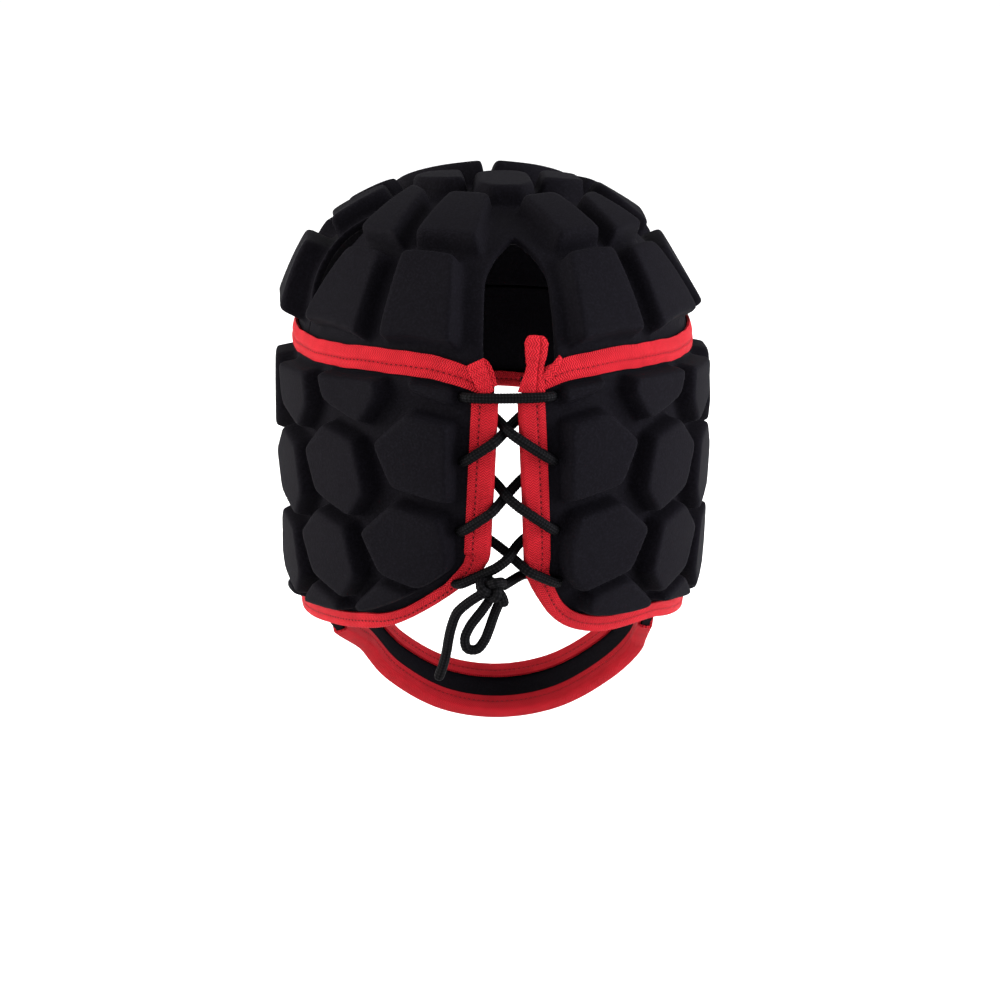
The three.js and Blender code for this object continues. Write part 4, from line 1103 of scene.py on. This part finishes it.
def make_tape_ends(tape):
    ends = (
        ("tape_tab_left", LEFT_END, (0.92, -0.4), 0, 0, "crown_tape_end_left"),
        ("tape_stub_right", RIGHT_END, (-1, -0.06), 2, 0.5, "crown_tape_end_right"),
        ("tape_tip_right", LOOSE_TIP, (0.76, 0.65), 0, 0, None),
    )
    for name, rows, across, rounding, crease, node in ends:
        way = smooth_way(rows, 0.3)
        gone = np.linspace(0, 1, len(way))
        length = length_of(way[:, :3])
        top = way[:, 1].max()

        def place(u, v):
            along, height, rise, width = (np.interp(u, gone, column) for column in way.T)
            aside = (v - 0.5) * width
            near_top = np.clip(1 - (top - height) / ROUNDED_REACH, 0, 1)
            height = height - rounding * near_top * np.abs(2 * v - 1) ** 6
            creased = crease * np.exp(-((v - CREASE_PLACE) / CREASE_WIDTH) ** 2)
            rise = rise - creased - EDGE_CURL * np.abs(2 * v - 1) ** 2
            points = on_side(along + across[0] * aside, height + across[1] * aside, rise)
            return points, np.stack([aside, u * length], axis=1) + PLAIN_CLOTH

        piece = grid_piece(name, TAPE_END_STEPS, TAPE_ROWS, place)
        thicken(piece, TAPE)
        settle(piece, tape, "red_tape", *([node] if node else []))


# Chin strap.
STRAP_STEPS = 150
STRAP_ROWS = 16


def strap_frames():
    """The strap's middle line, and the ways across it and out of it."""
    half = {}
    for side in (1, -1):
        sewn = [on_side(side * a, h, -under - STRAP_THICKNESS / 2) for a, h, under in STRAP_SEWN]
        half[side] = [*sewn, *[np.array([side * x + STRAP_SWING, y, z]) for x, y, z in STRAP_LOOP]]
    chin = np.array([STRAP_SWING, *STRAP_CHIN])
    line = smooth_way([*half[1], chin, *half[-1][::-1]], 2)
    ahead = ahead_along(line)
    flatter = (HALF_WIDTH / FRONT_DEPTH) ** 2
    out = np.stack([line[:, 0], line[:, 1] * flatter, np.minimum(0, line[:, 2] - STRAP_ARCH)], axis=1)
    out = square_to(ahead, out)
    return line, np.cross(ahead, out), out


def make_strap(cloth, tape, thread):
    line, across, out = strap_frames()
    places = np.linspace(0, 1, len(line))
    length = length_of(line)

    def at(u, side, rise):
        rows = [np.stack([np.interp(u, places, c) for c in part.T], axis=1) for part in (line, across, out)]
        return rows[0] + rows[1] * side[:, None] + rows[2] * (rise - STRAP_THICKNESS / 2)[:, None]

    def place(u, v):
        side = (v - 0.5) * STRAP_WIDTH
        return at(u, side, np.full_like(u, STRAP_THICKNESS / 2)), np.stack([u * length, side], axis=1)

    strap = grid_piece("chin_strap_cloth", STRAP_STEPS, STRAP_ROWS, place)
    thicken(strap, STRAP_THICKNESS)
    settle(strap, cloth, "strap_cloth", "chin_strap")
    lines = []
    bound_length = STRAP_BOUND_SHARE * length
    for word, side in (("rear", 1), ("front", -1)):
        def bound(u, depth, rise, side=side):
            return at(STRAP_BOUND_FROM + STRAP_BOUND_SHARE * u, side * (STRAP_WIDTH / 2 - depth), rise)

        name = "strap_binding_" + word
        made = Tape(name + "_tape", bound, bound_length, even(STRAP_TAPE_WIDTH), STRAP_THICKNESS)
        made.make(tape, name)
        lines.append(made.stitch_line())
    stitches("strap_stitches", lines, thread)


# Lace through its holes, and the knot.
def lace_half(side):
    """One half of the lace, from the back middle at the top down to the knot."""
    way = []

    def go(along, height, rise):
        way.append(on_side(along, height, rise))

    slope = 0
    for k, (along, height, gap) in enumerate(LACE_HOLES):
        shoulder = along - LACE / 3
        if k == 0:
            go(side * (gap + LACE), height, OVER_TAPE)
        for before, rise in LACE_DIPS:
            go(side * (along - before), height + slope * before, rise)
        go(side * along, height - GAP, WALL / 2)
        go(side * shoulder, height - 3 * GAP, UNDER_TAPE + LACE / 3)
        if k == len(LACE_HOLES) - 1:
            break
        next_along, next_height, next_gap = LACE_HOLES[k + 1]
        on_top = side > 0 if k < 2 else side < 0
        near, middle, far = STRAND_ON_TOP if on_top else STRAND_BELOW
        wide = (gap + next_gap) / 2
        slope = (height - next_height) / (along + next_along)
        places = (
            (wide + LACE, UNDER_TAPE), (wide, UNDER_TAPE), (wide / 2, near), (0, middle), (-wide / 2, far),
            (-wide, OVER_TAPE), (-wide - LACE, OVER_TAPE),
        )
        for across, rise in places:
            share = (along - across) / (along + next_along)
            go(side * across, height + (next_height - height) * share, rise)
        side = -side
    along, height, gap = LACE_HOLES[-1]
    go(side * (gap + LACE), height, UNDER_TAPE)
    go(side * gap, height, UNDER_TAPE)
    way.append(np.array([KNOT[0] + side * KNOT_WIDTH / 3, KNOT[1] - 1, KNOT[2]]))
    return way


def make_lace(material):
    middle = on_side(0, LACE_HOLES[0][1], OVER_TAPE - GAP)
    way = smooth_way([*lace_half(-1)[::-1], middle, *lace_half(1)], CORD_SPACING)
    settle(cord_piece("lace_cord", way, LACE), material, "black_lace", "lace")
    turn = np.linspace(0, 2 * math.pi, KNOT_STEPS)
    x = np.sin(turn) + 2 * np.sin(2 * turn)
    z = np.cos(turn) - 2 * np.cos(2 * turn)
    wound = np.stack([x, np.sin(3 * turn), z], axis=1) * KNOT_SPREAD + KNOT
    knot = cord_piece("lace_knot_cord", wound, LACE, True)
    stub = cord_piece("lace_knot_stub", smooth_way(STUB_WAY, CORD_SPACING), STUB)
    settle(stub, material, "black_lace")
    settle(knot, material, "black_lace", "lace_knot")


CLOTH = pad_cloth()
RED = red_tape()
THREAD = red_thread()
make_crown(CLOTH)
for one, name in ((1, "left"), (-1, "right")):
    make_crown_side(one, "crown_side_" + name, CLOTH)
    make_side_panel(one, "side_panel_" + name, CLOTH)
    make_bindings(one, name, RED, THREAD)
make_crown_tape(RED, THREAD)
make_tape_ends(RED)
make_strap(CLOTH, RED, THREAD)
make_lace(LACE_CORD)


# Studio, in metres: lamps with their places, sizes, watts and colours, and the place that they point at.
SOFTBOXES = (
    ("left_softbox", (1.5, 0.15, 0.3), 1.1, 52, "#FFFDF8"),
    ("right_softbox", (-1.45, 0.4, 0.3), 1.1, 60, "#F8F9FF"),
    ("top_softbox", (0, 0.1, 1.7), 1.3, 16, "#FFFFFF"),
)
LIT_PLACE = (0, 0, -0.12)
FLOOR_SIZE = 60
# The studio's white ceiling and the foot of its walls are brighter than the walls.
WALL_GLOW = 0.5
CEILING_GLOW = 0.85
FOOT_GLOW = 0.5
FOOT_FADE = -1.7


def light(name, place, size, power, colour):
    lamp = bpy.data.lights.new(name, "AREA")
    lamp.size = size
    lamp.energy = power
    lamp.color = linear(colour)[:3]
    made = bpy.data.objects.new(name, lamp)
    bpy.context.scene.collection.objects.link(made)
    made.location = place
    made.rotation_euler = (Vector(LIT_PLACE) - Vector(place)).to_track_quat("-Z", "Y").to_euler()


def make_studio():
    bpy.ops.object.select_all(action="DESELECT")
    bpy.ops.mesh.primitive_plane_add(size=FLOOR_SIZE, location=(0, 0, 0))
    floor = bpy.context.object
    floor.name = "floor"
    for vertex in floor.data.vertices:
        vertex.co.z = FLOOR_HEIGHT * MM
    floor.data.materials.append(pale_floor())
    for softbox in SOFTBOXES:
        light(*softbox)
    world = bpy.data.worlds.new("studio")
    bpy.context.scene.world = world
    world.use_nodes = True
    tree = world.node_tree
    tree.nodes["Background"].inputs["Color"].default_value = linear("#FFFFFF")
    sight = add(tree, "ShaderNodeTexCoord").outputs["Generated"]
    up = add(tree, "ShaderNodeSeparateXYZ", {0: sight}).outputs[2]
    foot = calc(tree, "MULTIPLY_ADD", calc(tree, "ABSOLUTE", up), FOOT_FADE, FOOT_GLOW, clamp=True)
    above = calc(tree, "MULTIPLY_ADD", calc(tree, "MAXIMUM", up, 0), CEILING_GLOW, WALL_GLOW)
    bright = calc(tree, "ADD", above, foot)
    tree.links.new(bright, tree.nodes["Background"].inputs["Strength"])
    bpy.context.scene.view_settings.view_transform = "Standard"


make_studio()
